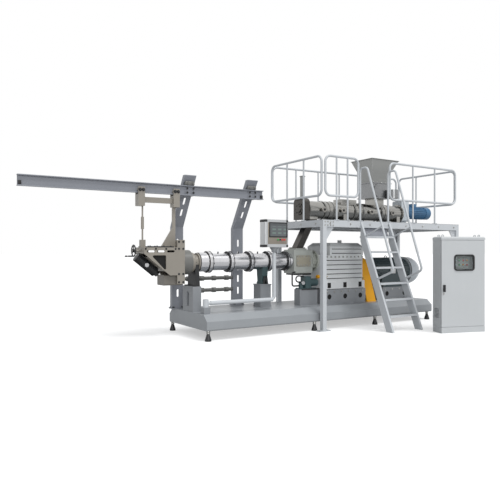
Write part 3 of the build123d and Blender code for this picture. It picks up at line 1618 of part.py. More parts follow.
with BuildPart(cabinet_plane) as cabinet_roof:
    with Locations((0, 0, case_top)):
        Box(
            cabinet_width + 2 * cabinet_roof_margin,
            cabinet_depth + 2 * cabinet_roof_margin,
            cabinet_roof_height,
            align=mid,
        )
    chamfer(cabinet_roof.faces().sort_by(Axis.Z)[-1].edges(), length=cabinet_roof_chamfer)
    with Locations((door_pin_x, door_pin_y, case_top)):
        Cylinder(door_pin_radius, door_pin_length, align=(Align.CENTER, Align.CENTER, Align.MAX))
    with Locations(
        [
            (x, y, cabinet_height + cabinet_lug_radius - cabinet_lug_thickness)
            for x in (-cabinet_width / 2 + cabinet_lug_inset, cabinet_width / 2 - cabinet_lug_inset)
            for y in (-cabinet_depth / 2 + cabinet_lug_inset, cabinet_depth / 2 - cabinet_lug_inset)
        ]
    ):
        Cylinder(cabinet_lug_radius, cabinet_lug_thickness, rotation=along_y)
        Cylinder(cabinet_lug_hole, cabinet_lug_thickness + overrun, rotation=along_y, mode=Mode.SUBTRACT)
cabinet_roof.part.label = "cabinet_roof"
export_step(cabinet_roof.part, "parts/cabinet_roof.step")

door_height = case_height - 2 * door_edge_gap
door_bottom = cabinet_plinth_height + door_edge_gap
door_plane = Plane(
    origin=cabinet_plane.from_local_coords((0, door_front, 0)),
    x_dir=cabinet_plane.x_dir,
    z_dir=-cabinet_plane.y_dir,
)
with BuildPart() as cabinet_door:
    with BuildSketch(door_plane):
        with Locations((0, door_bottom + door_height / 2)):
            Rectangle(cabinet_width - 2 * door_edge_gap, door_height)
        with Locations((window_offset, window_centre_height)):
            RectangleRounded(window_width, window_height, window_round, mode=Mode.SUBTRACT)
    extrude(amount=-door_thickness)
    with BuildSketch(cabinet_plane.offset(door_bottom)):
        with Locations((door_pin_x, door_pin_y)):
            Circle(door_pin_radius + seat_clearance)
    extrude(amount=door_pin_length, mode=Mode.SUBTRACT)
    with BuildSketch(cabinet_plane.offset(door_bottom + door_height)):
        with Locations((door_pin_x, door_pin_y)):
            Circle(door_pin_radius + seat_clearance)
    extrude(amount=-door_pin_length, mode=Mode.SUBTRACT)
cabinet_door.part.label = "cabinet_door"
export_step(cabinet_door.part, "parts/cabinet_door.step")

# Black window surround and the door handle
with BuildPart() as door_fittings:
    with BuildSketch(door_plane):
        with Locations((window_offset, window_centre_height)):
            RectangleRounded(
                window_width + 2 * window_frame_margin,
                window_height + 2 * window_frame_margin,
                window_round + window_frame_margin,
            )
            RectangleRounded(window_width, window_height, window_round, mode=Mode.SUBTRACT)
    extrude(amount=window_frame_thickness)
    with BuildSketch(door_plane):
        with Locations((-cabinet_width / 2 + handle_inset, handle_centre_height)):
            RectangleRounded(handle_width, handle_height, handle_width / 3)
    extrude(amount=handle_depth)
door_fittings.part.label = "door_fittings"
export_step(door_fittings.part, "parts/door_fittings.step")

with BuildPart() as door_window:
    with BuildSketch(door_plane):
        with Locations((window_offset, window_centre_height)):
            RectangleRounded(window_width, window_height, window_round)
    extrude(amount=-window_pane_thickness)
door_window.part.label = "door_window"
export_step(door_window.part, "parts/door_window.step")

# Inside panel with lamps and switches behind the window
instrument_plane = Plane(
    origin=cabinet_plane.from_local_coords((0, case_front + instrument_setback, 0)),
    x_dir=cabinet_plane.x_dir,
    z_dir=-cabinet_plane.y_dir,
)
with BuildPart() as instrument_panel:
    with BuildSketch(instrument_plane):
        with Locations((0, window_centre_height)):
            Rectangle(cabinet_width - 2 * cabinet_wall, instrument_height)
    extrude(amount=-instrument_thickness)
    with BuildSketch(instrument_plane):
        with Locations((window_offset, window_centre_height)):
            with GridLocations(
                instrument_lamp_pitch, instrument_lamp_pitch, instrument_lamp_columns, instrument_lamp_rows
            ):
                Circle(instrument_lamp_radius)
    extrude(amount=instrument_lamp_height)
instrument_panel.part.label = "instrument_panel"
export_step(instrument_panel.part, "parts/instrument_panel.step")

# Trolley: two carriers with rollers on the lower flange, joined by a bar
carrier_gap = beam_flange_width / 2 + carrier_side_gap
roller_z = beam_bottom + beam_flange_thickness + seat_clearance + roller_radius
carrier_stations = (carrier_front_station, carrier_rear_station)
with BuildPart() as cutter_trolley:
    for station in carrier_stations:
        for side in (-1, 1):
            with Locations((station, axis_y + side * (carrier_gap + carrier_plate / 2), carrier_bottom)):
                Box(carrier_length, carrier_plate, carrier_drop + carrier_top_rise, align=low)
            roller_y = axis_y + side * (carrier_gap - carrier_side_gap - roller_width / 2)
            for share in carrier_roller_shares:
                with Locations((station + share * carrier_length, roller_y, roller_z)):
                    Cylinder(roller_radius, roller_width, rotation=along_y)
                axle_y = axis_y + side * (carrier_gap - carrier_side_gap / 2)
                with Locations((station + share * carrier_length, axle_y, roller_z)):
                    Cylinder(roller_axle_radius, carrier_side_gap, rotation=along_y)
        with Locations((station, axis_y, carrier_bottom)):
            Box(
                carrier_length,
                2 * carrier_gap,
                carrier_drop - carrier_under_gap,
                align=low,
            )
    bar_start = carrier_front_station + carrier_length
    with Locations((bar_start, axis_y, beam_bottom - trolley_bar_drop)):
        Box(
            carrier_rear_station - bar_start,
            trolley_bar_width,
            trolley_bar_height,
            align=(Align.MIN, Align.CENTER, Align.MAX),
        )
cutter_trolley.part.label = "cutter_trolley"
export_step(cutter_trolley.part, "parts/cutter_trolley.step")

# Hangers: a turnbuckle rod at the handwheel end and a braced plate at the die end
front_rod_x = carrier_front_station + front_rod_inset
rear_edge = carrier_rear_station + rear_hanger_inset
rod_middle = (carrier_bottom + cutter_top + front_clevis_height) / 2
with BuildPart() as cutter_hangers:
    with Locations((front_rod_x, axis_y, cutter_top)):
        Box(front_clevis_length, front_clevis_width, front_clevis_height, align=mid)
        Cylinder(front_rod_radius, carrier_bottom - cutter_top, align=mid)
    with Locations((front_rod_x, axis_y, rod_middle)):
        Cylinder(front_turnbuckle_radius, front_turnbuckle_length)
    with BuildSketch(lengthwise(axis_y)):
        with BuildLine():
            Polyline(
                (rear_edge - rear_hanger_bar, carrier_bottom),
                (rear_edge, carrier_bottom),
                (rear_edge, cutter_top),
                (rear_edge - rear_hanger_foot, cutter_top),
                (rear_edge - rear_hanger_bar, carrier_bottom - rear_hanger_straight),
                close=True,
            )
        make_face()
    extrude(amount=rear_hanger_thickness / 2, both=True)
cutter_hangers.part.label = "cutter_hangers"
export_step(cutter_hangers.part, "parts/cutter_hangers.step")

# Cutter frame: two windowed side plates tied by the top, tail, motor and head plates
slope_run = cutter_nose_station - cutter_frame_start
slope_fall = cutter_tail_rise + cutter_nose_drop
slope_length = hypot(slope_run, slope_fall)
slope_angle = degrees(atan2(slope_fall, slope_run))
head_start = cutter_frame_end - cutter_head_length
inner_half_width = cutter_frame_half_width - cutter_plate_thickness
plate_middle = inner_half_width + cutter_plate_thickness / 2
spindle_z = axis_z + wheel_rise
slot_row_x = (cutter_frame_start + head_start) / 2
slot_row_z = axis_z + (cutter_window_top_rise + cutter_top_rise) / 2
with BuildPart() as cutter_frame:
    for y in (axis_y - plate_middle, axis_y + plate_middle):
        with BuildSketch(lengthwise(y)):
            with BuildLine():
                Polyline(
                    (cutter_frame_start, axis_z + cutter_tail_rise),
                    (cutter_nose_station, axis_z - cutter_nose_drop),
                    (head_start, axis_z - cutter_nose_drop),
                    (head_start, axis_z - cutter_bottom_drop),
                    (cutter_frame_end, axis_z - cutter_bottom_drop),
                    (cutter_frame_end, axis_z + cutter_head_rise),
                    (head_start, axis_z + cutter_head_rise),
                    (head_start, cutter_top),
                    (cutter_frame_start, cutter_top),
                    close=True,
                )
            make_face()
            with BuildLine(mode=Mode.PRIVATE) as window_line:
                FilletPolyline(
                    (cutter_window_start, axis_z + cutter_window_top_rise),
                    (cutter_window_end, axis_z + cutter_window_top_rise),
                    (cutter_window_end, axis_z - cutter_window_bottom_drop),
                    radius=cutter_window_round,
                    close=True,
                )
            make_face(window_line.edges(), mode=Mode.SUBTRACT)
            with Locations((slot_row_x, slot_row_z)):
                with GridLocations(cutter_slot_pitch, cutter_slot_height, cutter_slot_count, 1):
                    SlotOverall(cutter_slot_length, cutter_slot_height, mode=Mode.SUBTRACT)
        extrude(amount=cutter_plate_thickness / 2, both=True)
    with Locations((cutter_frame_start, axis_y, cutter_top - cutter_plate_thickness)):
        Box(
            cutter_frame_end - cutter_frame_start,
            2 * inner_half_width,
            cutter_plate_thickness,
            align=low,
        )
    with Locations((cutter_frame_start, axis_y, axis_z + cutter_tail_rise)):
        Box(
            cutter_plate_thickness,
            2 * inner_half_width,
            cutter_top_rise - cutter_tail_rise - cutter_plate_thickness,
            align=low,
        )
    with Locations((cutter_frame_end - cutter_plate_thickness, axis_y, axis_z - cutter_bottom_drop)):
        Box(
            cutter_plate_thickness,
            2 * inner_half_width,
            cutter_bottom_drop + cutter_head_rise,
            align=low,
        )
    with BuildSketch(lengthwise(axis_y)):
        with Locations(
            Location(
                (
                    cutter_frame_start + slope_run / 2,
                    axis_z + cutter_tail_rise - slope_fall / 2,
                ),
                -slope_angle,
            )
        ):
            Rectangle(cutter_motor_plate_length, cutter_motor_plate, align=(Align.CENTER, Align.MIN))
    extrude(amount=inner_half_width, both=True)
    with BuildSketch(crosswise(cutter_frame_start, axis_y, spindle_z)):
        Circle(spindle_radius)
    extrude(amount=-spindle_length)
cutter_frame.part.label = "cutter_frame"
export_step(cutter_frame.part, "parts/cutter_frame.step")

# Cutter motor, slung along the slope of the frame
slope_x = cos(radians(slope_angle))
slope_z = -sin(radians(slope_angle))
motor_depth = cutter_motor_radius + cutter_motor_fin_height
slope_middle_x = cutter_frame_start + slope_run / 2
slope_middle_z = axis_z + cutter_tail_rise - slope_fall / 2
motor_middle_x = slope_middle_x - cutter_motor_back_shift * slope_x + motor_depth * slope_z
motor_middle_z = slope_middle_z - cutter_motor_back_shift * slope_z - motor_depth * slope_x
cutter_motor_plane = Plane(
    origin=(
        motor_middle_x - cutter_motor_length / 2 * slope_x,
        axis_y,
        motor_middle_z - cutter_motor_length / 2 * slope_z,
    ),
    x_dir=(0, 1, 0),
    z_dir=(slope_x, 0, slope_z),
)
with BuildPart() as cutter_motor:
    with BuildSketch(cutter_motor_plane):
        Circle(cutter_motor_radius)
        with PolarLocations(cutter_motor_radius, cutter_motor_fin_count):
            Rectangle(2 * cutter_motor_fin_height, cutter_motor_fin_thickness)
    extrude(amount=cutter_motor_length)
    with BuildSketch(cutter_motor_plane.offset(cutter_motor_length)):
        Circle(cutter_motor_neck_radius)
    extrude(amount=cutter_motor_neck_length)
cutter_motor.part.label = "cutter_motor"
export_step(cutter_motor.part, "parts/cutter_motor.step")

# Gear case between motor and knife shaft
gear_case_length = cutter_frame_end - cutter_plate_thickness - gear_case_start
with BuildPart() as cutter_gear_case:
    with Locations((gear_case_start, axis_y, axis_z - gear_case_top_drop - gear_case_height)):
        Box(gear_case_length, gear_case_width, gear_case_height, align=low)
    fillet(cutter_gear_case.edges().filter_by(Axis.X), radius=gear_case_round)
cutter_gear_case.part.label = "cutter_gear_case"
export_step(cutter_gear_case.part, "parts/cutter_gear_case.step")

# Knife hood and knife rotor facing the die
with BuildPart() as knife_hood:
    with BuildSketch(crosswise(cutter_frame_end, axis_y, axis_z)):
        Circle(hood_radius)
        Circle(hood_radius - hood_wall, mode=Mode.SUBTRACT)
    extrude(amount=hood_end - cutter_frame_end)
knife_hood.part.label = "knife_hood"
export_step(knife_hood.part, "parts/knife_hood.step")

knife_face = adaptor_start - die_plate_thickness - knife_clearance
with BuildPart() as knife_rotor:
    with BuildSketch(crosswise(cutter_frame_end, axis_y, axis_z)):
        Circle(knife_shaft_radius)
    extrude(amount=knife_face - cutter_frame_end)
    with BuildSketch(crosswise(knife_face - knife_width, axis_y, axis_z)):
        Circle(knife_hub_radius)
        with PolarLocations(0, knife_count):
            Rectangle(knife_hub_radius + knife_length, knife_thickness, align=(Align.MIN, Align.CENTER))
    extrude(amount=knife_width)
knife_rotor.part.label = "knife_rotor"
export_step(knife_rotor.part, "parts/knife_rotor.step")

# Handwheel on the spindle at the tail of the cutter
wheel_x = cutter_frame_start - spindle_length + wheel_hub_length / 2
with BuildPart() as cutter_handwheel:
    with BuildSketch(Plane(origin=(wheel_x, axis_y, spindle_z), x_dir=(1, 0, 0), z_dir=(0, -1, 0))):
        with Locations((0, wheel_radius - wheel_rim_radius)):
            Circle(wheel_rim_radius)
    revolve(axis=Axis((wheel_x, axis_y, spindle_z), (1, 0, 0)))
    with BuildSketch(crosswise(wheel_x - wheel_hub_length / 2, axis_y, spindle_z)):
        Circle(wheel_hub_radius)
    extrude(amount=wheel_hub_length)
    with BuildSketch(crosswise(wheel_x - wheel_rim_radius / 2, axis_y, spindle_z)):
        with PolarLocations(0, wheel_spoke_count, start_angle=90):
            Rectangle(wheel_radius - wheel_rim_radius, wheel_spoke_width, align=(Align.MIN, Align.CENTER))
    extrude(amount=wheel_rim_radius)
    with BuildSketch(crosswise(wheel_x, axis_y, spindle_z - wheel_radius + wheel_rim_radius)):
        Circle(wheel_knob_radius)
    extrude(amount=-wheel_knob_length)
    with BuildSketch(crosswise(wheel_x - wheel_hub_length / 2, axis_y, spindle_z)):
        Circle(spindle_radius + seat_clearance)
    extrude(amount=wheel_hub_length, mode=Mode.SUBTRACT)
cutter_handwheel.part.label = "cutter_handwheel"
export_step(cutter_handwheel.part, "parts/cutter_handwheel.step")
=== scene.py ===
"""Food extruder: finishes, small fittings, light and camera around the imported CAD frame."""
import json
import logging
import math
from abc import ABC, abstractmethod
from dataclasses import dataclass
from enum import Enum
from itertools import product
from typing import Any, Callable, Iterable, Optional, Sequence, Union

import bmesh
import bpy
from mathutils import Matrix, Vector


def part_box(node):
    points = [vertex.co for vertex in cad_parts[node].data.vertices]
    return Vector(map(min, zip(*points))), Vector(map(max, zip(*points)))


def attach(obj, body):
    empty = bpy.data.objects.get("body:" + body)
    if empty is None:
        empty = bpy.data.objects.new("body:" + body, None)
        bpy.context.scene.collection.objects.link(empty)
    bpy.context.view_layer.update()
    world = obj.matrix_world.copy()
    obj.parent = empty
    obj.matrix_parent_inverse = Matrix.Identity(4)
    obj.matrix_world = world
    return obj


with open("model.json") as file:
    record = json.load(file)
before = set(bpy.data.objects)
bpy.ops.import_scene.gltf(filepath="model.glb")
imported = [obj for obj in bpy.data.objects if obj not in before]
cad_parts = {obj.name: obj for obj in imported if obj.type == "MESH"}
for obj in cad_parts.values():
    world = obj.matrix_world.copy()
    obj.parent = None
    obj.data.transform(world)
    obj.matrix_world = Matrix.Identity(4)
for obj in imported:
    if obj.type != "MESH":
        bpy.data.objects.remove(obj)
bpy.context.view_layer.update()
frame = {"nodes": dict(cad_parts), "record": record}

LOG = logging.getLogger("food_extruder")
Pair = tuple[float, float]
Triple = tuple[float, float, float]
Rgba = tuple[float, float, float, float]
Floats = tuple[float, ...]
Outline = tuple[Pair, ...]
Names = tuple[str, ...]

SHARP = math.radians(38.0)
FULL_TURN = 2.0 * math.pi
HALF_STEP_OF_8 = math.pi / 8.0
BARREL_AXIS: Pair = (0.665, 1.2)
SCREEN_CENTRE: Pair = (1.39, 1.74)
SCREEN_SIZE: Pair = (0.335, 0.215)
WHITE: Rgba = (1.0, 1.0, 1.0, 1.0)


class Body(Enum):
    """The CAD bodies that pieces ride on."""

    PLANT = "plant"
    CUTTER = "cutter"
    HANDWHEEL = "handwheel"
    ARM = "swing_arm"
    PANEL = "operator_panel"
    DOOR = "door_leaf"


class Way(Enum):
    """The directions that fittings face."""

    LEFT = (-1.0, 0.0, 0.0)
    RIGHT = (1.0, 0.0, 0.0)
    FRONT = (0.0, -1.0, 0.0)
    BACK = (0.0, 1.0, 0.0)
    UP = (0.0, 0.0, 1.0)
    DOWN = (0.0, 0.0, -1.0)


class Lay(Enum):
    """How a machined surface's fine lines run, as stretch along X, Y and Z."""

    TURNED = (260.0, 5.0, 5.0)
    LENGTHWISE = (4.0, 300.0, 300.0)
    UPRIGHT = (300.0, 300.0, 4.0)
    ROUGH = (55.0, 55.0, 55.0)


def linear(colour: Sequence[float]) -> Rgba:
    """Turn a colour as seen on screen into the light values that shaders use.

    Args:
        colour: red, green and blue as shown, each 0 to 1.

    Returns:
        The linear red, green, blue and an alpha of one.
    """
    low_end = 0.04045
    parts = [c / 12.92 if c <= low_end else ((c + 0.055) / 1.055) ** 2.4 for c in colour]
    return (parts[0], parts[1], parts[2], 1.0)


# ---------------------------------------------------------------- shader sockets


def sum_of(operation: str, swapped: bool = False) -> Callable[..., "Wire"]:
    """Make a method that adds one Math node.

    Args:
        operation: Blender's name of the sum.
        swapped: whether the wire comes second, as it does with a number on its left.

    Returns:
        The method, which takes a number or another wire and returns the sum as a wire.
    """

    def apply(wire: "Wire", other: Any = 0.0) -> "Wire":
        """Add the Math node."""
        first, second = (other, wire) if swapped else (wire, other)
        return wire.loom.node("Math", {0: first, 1: second}, operation=operation)

    return apply


class Wire:
    """A shader socket that takes part in Python sums."""

    def __init__(self, loom: "Loom", socket: bpy.types.NodeSocket) -> None:
        """Keep the node tree and the output socket."""
        self.loom = loom
        self.socket = socket

    __add__ = sum_of("ADD")
    __radd__ = sum_of("ADD", True)
    __sub__ = sum_of("SUBTRACT")
    __rsub__ = sum_of("SUBTRACT", True)
    __mul__ = sum_of("MULTIPLY")
    __gt__ = sum_of("GREATER_THAN")
    __lt__ = sum_of("LESS_THAN")
    either = sum_of("MAXIMUM")
    sine = sum_of("SINE")
    size = sum_of("ABSOLUTE")

    def swing(self, amount: float) -> "Wire":
        """A 0 to 1 value made to swing round zero by an amount."""
        return (self - 0.5) * amount

    def step(self, low: float, high: float) -> "Wire":
        """Ease from 0 at low to 1 at high."""
        return self.loom.node("MapRange", {0: self, 1: low, 2: high}, interpolation_type="SMOOTHSTEP")


class Loom:
    """One node tree, woven from wires."""

    def __init__(self, owner: Union[bpy.types.Material, bpy.types.World]) -> None:
        """Empty the node tree of a material or world.

        Args:
            owner: the material or world that the tree belongs to.
        """
        self.owner = owner
        owner.use_nodes = True
        self.tree = owner.node_tree
        self.tree.nodes.clear()

    @classmethod
    def of_material(cls, name: str) -> "Loom":
        """Start a new material's tree."""
        return cls(bpy.data.materials.new(f"{name}_finish"))

    def node(
        self,
        kind: str,
        values: Optional[dict[Union[int, str], Any]] = None,
        output: Union[int, str] = 0,
        **settings: Any,
    ) -> Optional[Wire]:
        """Add any shader node, set it up and link it.

        Args:
            kind: Blender's type name of the node, without its ShaderNode start.
            values: socket values or wires, by socket index or name.
            output: the output socket that is returned.
            settings: the node's properties, which are set first.

        Returns:
            The chosen output as a wire, or nothing for a node without outputs.
        """
        made = self.tree.nodes.new(f"ShaderNode{kind}")
        for key, value in settings.items():
            setattr(made, key, value)
        for key, value in (values or {}).items():
            if isinstance(value, Wire):
                self.tree.links.new(value.socket, made.inputs[key])
            else:
                made.inputs[key].default_value = value
        return Wire(self, made.outputs[output]) if made.outputs else None

    def place(self, stretch: Triple = (1.0, 1.0, 1.0), turn: float = 0.0) -> Wire:
        """Object coordinates, stretched along each axis and turned about Z."""
        where = self.node("TexCoord", output="Object")
        return self.node("Mapping", {"Vector": where, "Rotation": (0.0, 0.0, turn), "Scale": stretch})

    def axis(self, index: int, turn: float = 0.0) -> Wire:
        """One coordinate of the turned place, 0 to 2 for X to Z."""
        return self.node("SeparateXYZ", {0: self.place(turn=turn)}, index)

    def noise(self, scale: float, detail: float = 3.0, stretch: Triple = (1.0, 1.0, 1.0)) -> Wire:
        """A noise value, 0 to 1, on Object coordinates."""
        values = {"Vector": self.place(stretch), "Scale": scale, "Detail": detail}
        return self.node("TexNoise", values, "Fac")

    def cells(self, scale: float) -> Wire:
        """Distance to the nearest cell's centre, for specks and pits."""
        return self.node("TexVoronoi", {"Vector": self.place(), "Scale": scale}, "Distance")

    def mix(self, share: Any, first: Any, second: Any) -> Wire:
        """Blend two colours by a share."""
        return self.node("Mix", {0: share, 6: first, 7: second}, 2, data_type="RGBA")

    def shade(self, colour: Triple, tone: Wire) -> Wire:
        """A colour made lighter or darker by a tone round one."""
        return self.node("VectorMath", {0: linear(colour)[:3], "Scale": tone}, operation="SCALE")

    def bump(self, height: Wire, strength: float, distance: float = 0.002) -> Wire:
        """A normal from a height."""
        return self.node("Bump", {"Strength": strength, "Distance": distance, "Height": height})

    def edge(self, radius: float) -> Wire:
        """A mask that is one along outer edges.

        Args:
            radius: how far the mask reaches from an edge, in metres.

        Returns:
            The mask, 0 to 1.
        """
        rounded = self.node("Bevel", {"Radius": radius}, samples=4)
        plain = self.node("NewGeometry", output="Normal")
        dot = self.node("VectorMath", {0: rounded, 1: plain}, "Value", operation="DOT_PRODUCT")
        return (1.0 - dot).step(0.02, 0.22)

    def surface(self, **values: Any) -> bpy.types.Material:
        """Close the material with a Principled shader.

        Args:
            values: the shader's inputs, with underscores for spaces.

        Returns:
            The finished material.
        """
        inputs = {key.replace("_", " "): value for key, value in values.items()}
        self.node("OutputMaterial", {"Surface": self.node("BsdfPrincipled", inputs)})
        return self.owner


# ---------------------------------------------------------------- finishes

WOVEN: dict[str, bpy.types.Material] = {}


@dataclass(frozen=True)
class Finish(ABC):
    """A named surface finish."""

    name: str
    colour: Triple

    @abstractmethod
    def weave(self, loom: Loom) -> bpy.types.Material:
        """Make the node material in an empty tree."""

    def material(self) -> bpy.types.Material:
        """The material, made once."""
        if self.name not in WOVEN:
            WOVEN[self.name] = self.weave(Loom.of_material(self.name))
        return WOVEN[self.name]

    def rubbed(self, gain: float = 1.2, lift: float = 0.06) -> Rgba:
        """The paler colour of worn edges, as light values."""
        return linear([min(1.0, part * gain + lift) for part in self.colour])


@dataclass(frozen=True)
class Paint(Finish):
    """Sprayed enamel with orange peel, soft mottling, run marks and rubbed edges."""

    roughness: float = 0.42
    mottle: float = 0.10
    peel: float = 0.05
    wear: float = 0.35
    grain: float = 260.0
    dust: float = 0.0
    dust_top: float = 0.42
    dust_colour: Triple = (0.52, 0.50, 0.46)

    def weave(self, loom: Loom) -> bpy.types.Material:
        """Make the painted material in an empty tree."""
        cloud = loom.noise(2.3, 5.0)
        grain = loom.noise(self.grain, 2.0)
        runs = loom.noise(7.0, 3.0, (1.0, 1.0, 0.14))
        coat = loom.shade(self.colour, 1.0 + cloud.swing(self.mottle) + runs.swing(self.mottle * 0.7))
        worn = loom.edge(0.006) * (cloud.step(0.32, 0.62) * self.wear)
        shown = loom.mix(worn, coat, self.rubbed(1.22, 0.05))
        if self.dust > 0.0:
            settled = (1.0 - loom.axis(2).step(0.0, self.dust_top)) * runs.step(0.3, 0.75) * self.dust
            shown = loom.mix(settled, shown, linear(self.dust_colour))
        rough = self.roughness + grain.swing(0.16) + cloud.swing(0.14)
        peel = loom.bump(grain, self.peel)
        return loom.surface(Base_Color=shown, Roughness=rough, Normal=peel, Specular_IOR_Level=0.45)


@dataclass(frozen=True)
class Steel(Finish):
    """Bare machined or brushed metal with fine lines and hand marks."""

    roughness: float = 0.28
    lay: Lay = Lay.TURNED
    lines: float = 0.22
    stain: float = 0.14

    def weave(self, loom: Loom) -> bpy.types.Material:
        """Make the metal material in an empty tree."""
        lines = loom.noise(1.0, 3.0, self.lay.value)
        cloud = loom.noise(4.5, 5.0)
        plain = loom.shade(self.colour, 1.0 + lines.swing(self.lines) + cloud.swing(self.stain))
        shown = loom.mix(loom.edge(0.004) * 0.4, plain, self.rubbed())
        rough = self.roughness + lines.swing(0.18) + cloud.swing(0.2)
        scored = loom.bump(lines, 0.06, 0.0006)
        return loom.surface(Base_Color=shown, Roughness=rough, Metallic=1.0, Normal=scored)


@dataclass(frozen=True)
class Casting(Finish):
    """Painted casting: grainy skin, soft pits and paint thin on the edges."""

    roughness: float = 0.5

    def weave(self, loom: Loom) -> bpy.types.Material:
        """Make the cast material in an empty tree."""
        cloud = loom.noise(3.0, 6.0)
        skin = loom.noise(95.0, 4.0)
        pits = loom.cells(140.0).step(0.05, 0.3)
        plain = loom.shade(self.colour, 0.98 + cloud.swing(0.14) + skin.swing(0.10))
        shown = loom.mix(loom.edge(0.007) * cloud.step(0.3, 0.6) * 0.4, plain, self.rubbed())
        rough = self.roughness + skin.swing(0.2)
        return loom.surface(Base_Color=shown, Roughness=rough, Normal=loom.bump(skin + pits * 0.4, 0.12))


@dataclass(frozen=True)
class Moulding(Finish):
    """Moulded plastic or rubber with a fine spark texture."""

    roughness: float = 0.46
    texture: float = 0.10

    def weave(self, loom: Loom) -> bpy.types.Material:
        """Make the plastic material in an empty tree."""
        spark = loom.noise(700.0, 2.0)
        cloud = loom.noise(9.0, 3.0)
        shown = loom.shade(self.colour, 1.0 + cloud.swing(0.25) + spark.swing(0.15))
        rough = self.roughness + spark.swing(0.2) + cloud.swing(0.12)
        return loom.surface(Base_Color=shown, Roughness=rough, Normal=loom.bump(spark, self.texture, 0.0008))


@dataclass(frozen=True)
class TreadPlate(Finish):
    """Rolled floor plate with crossed raised bars and scuffed tops."""

    pitch: float = 0.045
    turn: float = math.pi / 4.0

    def weave(self, loom: Loom) -> bpy.types.Material:
        """Make the floor plate material in an empty tree."""
        wave = FULL_TURN / self.pitch
        along, across = ((loom.axis(index, self.turn) * wave).sine() for index in (0, 1))
        bars = (along * across).step(0.28, 0.62)
        scuff = loom.noise(24.0, 4.0)
        shown = loom.shade(self.colour, 0.94 + bars * 0.14 + scuff.swing(0.22))
        rough = 0.46 - bars * 0.10 + scuff.swing(0.2)
        return loom.surface(Base_Color=shown, Roughness=rough, Metallic=0.55, Normal=loom.bump(bars, 0.5))


@dataclass(frozen=True)
class Pane(Finish):
    """Clear glass with a faint smear."""

    roughness: float = 0.04

    def weave(self, loom: Loom) -> bpy.types.Material:
        """Make the glass material in an empty tree."""
        smear = loom.noise(16.0, 4.0)
        shown = loom.shade(self.colour, 0.96 + smear * 0.08)
        rough = self.roughness + smear.step(0.5, 0.8) * 0.12
        return loom.surface(Base_Color=shown, Roughness=rough, Transmission_Weight=0.94, IOR=1.45)


@dataclass(frozen=True)
class Display(Finish):
    """Touch screen behind glass: a dark page with a head bar and rows of plain fields."""

    head_colour: Triple = (0.20, 0.21, 0.22)
    field_colour: Triple = (0.38, 0.46, 0.43)

    def weave(self, loom: Loom) -> bpy.types.Material:
        """Make the lit screen material in an empty tree."""
        across, up = (
            (loom.axis(index) - middle) * (2.0 / size)
            for index, middle, size in zip((0, 2), SCREEN_CENTRE, SCREEN_SIZE)
        )
        page = (across.size() < 0.93) * (up.size() < 0.90)
        head = (up > 0.66) * page
        columns = (across * 9.2).sine() > -0.35
        rows = (up * 11.0 + 0.8).sine() > 0.1
        fields = columns * rows * page * (up < 0.56)
        glow = loom.noise(20.0, 2.0)
        shown = loom.mix(head * 0.8, loom.shade(self.colour, 0.85 + glow * 0.3), linear(self.head_colour))
        shown = loom.mix(fields * 0.55, shown, linear(self.field_colour))
        rough = 0.10 + glow * 0.08
        return loom.surface(
            Base_Color=shown, Roughness=rough, Emission_Color=shown, Emission_Strength=0.35, Coat_Weight=0.6
        )


@dataclass(frozen=True)
class Lens(Finish):
    """Coloured lamp or button cap with fine ribs and a little glow."""

    glow: float = 0.25

    def weave(self, loom: Loom) -> bpy.types.Material:
        """Make the coloured cap material in an empty tree."""
        ribs = (loom.axis(2) * 2600.0).sine()
        cloud = loom.noise(60.0, 2.0)
        shown = loom.shade(self.colour, 0.9 + ribs * 0.06 + cloud * 0.14)
        return loom.surface(
            Base_Color=shown,
            Roughness=0.18 + cloud * 0.12,
            Emission_Color=shown,
            Emission_Strength=self.glow,
            Normal=loom.bump(ribs, 0.08, 0.0004),
        )


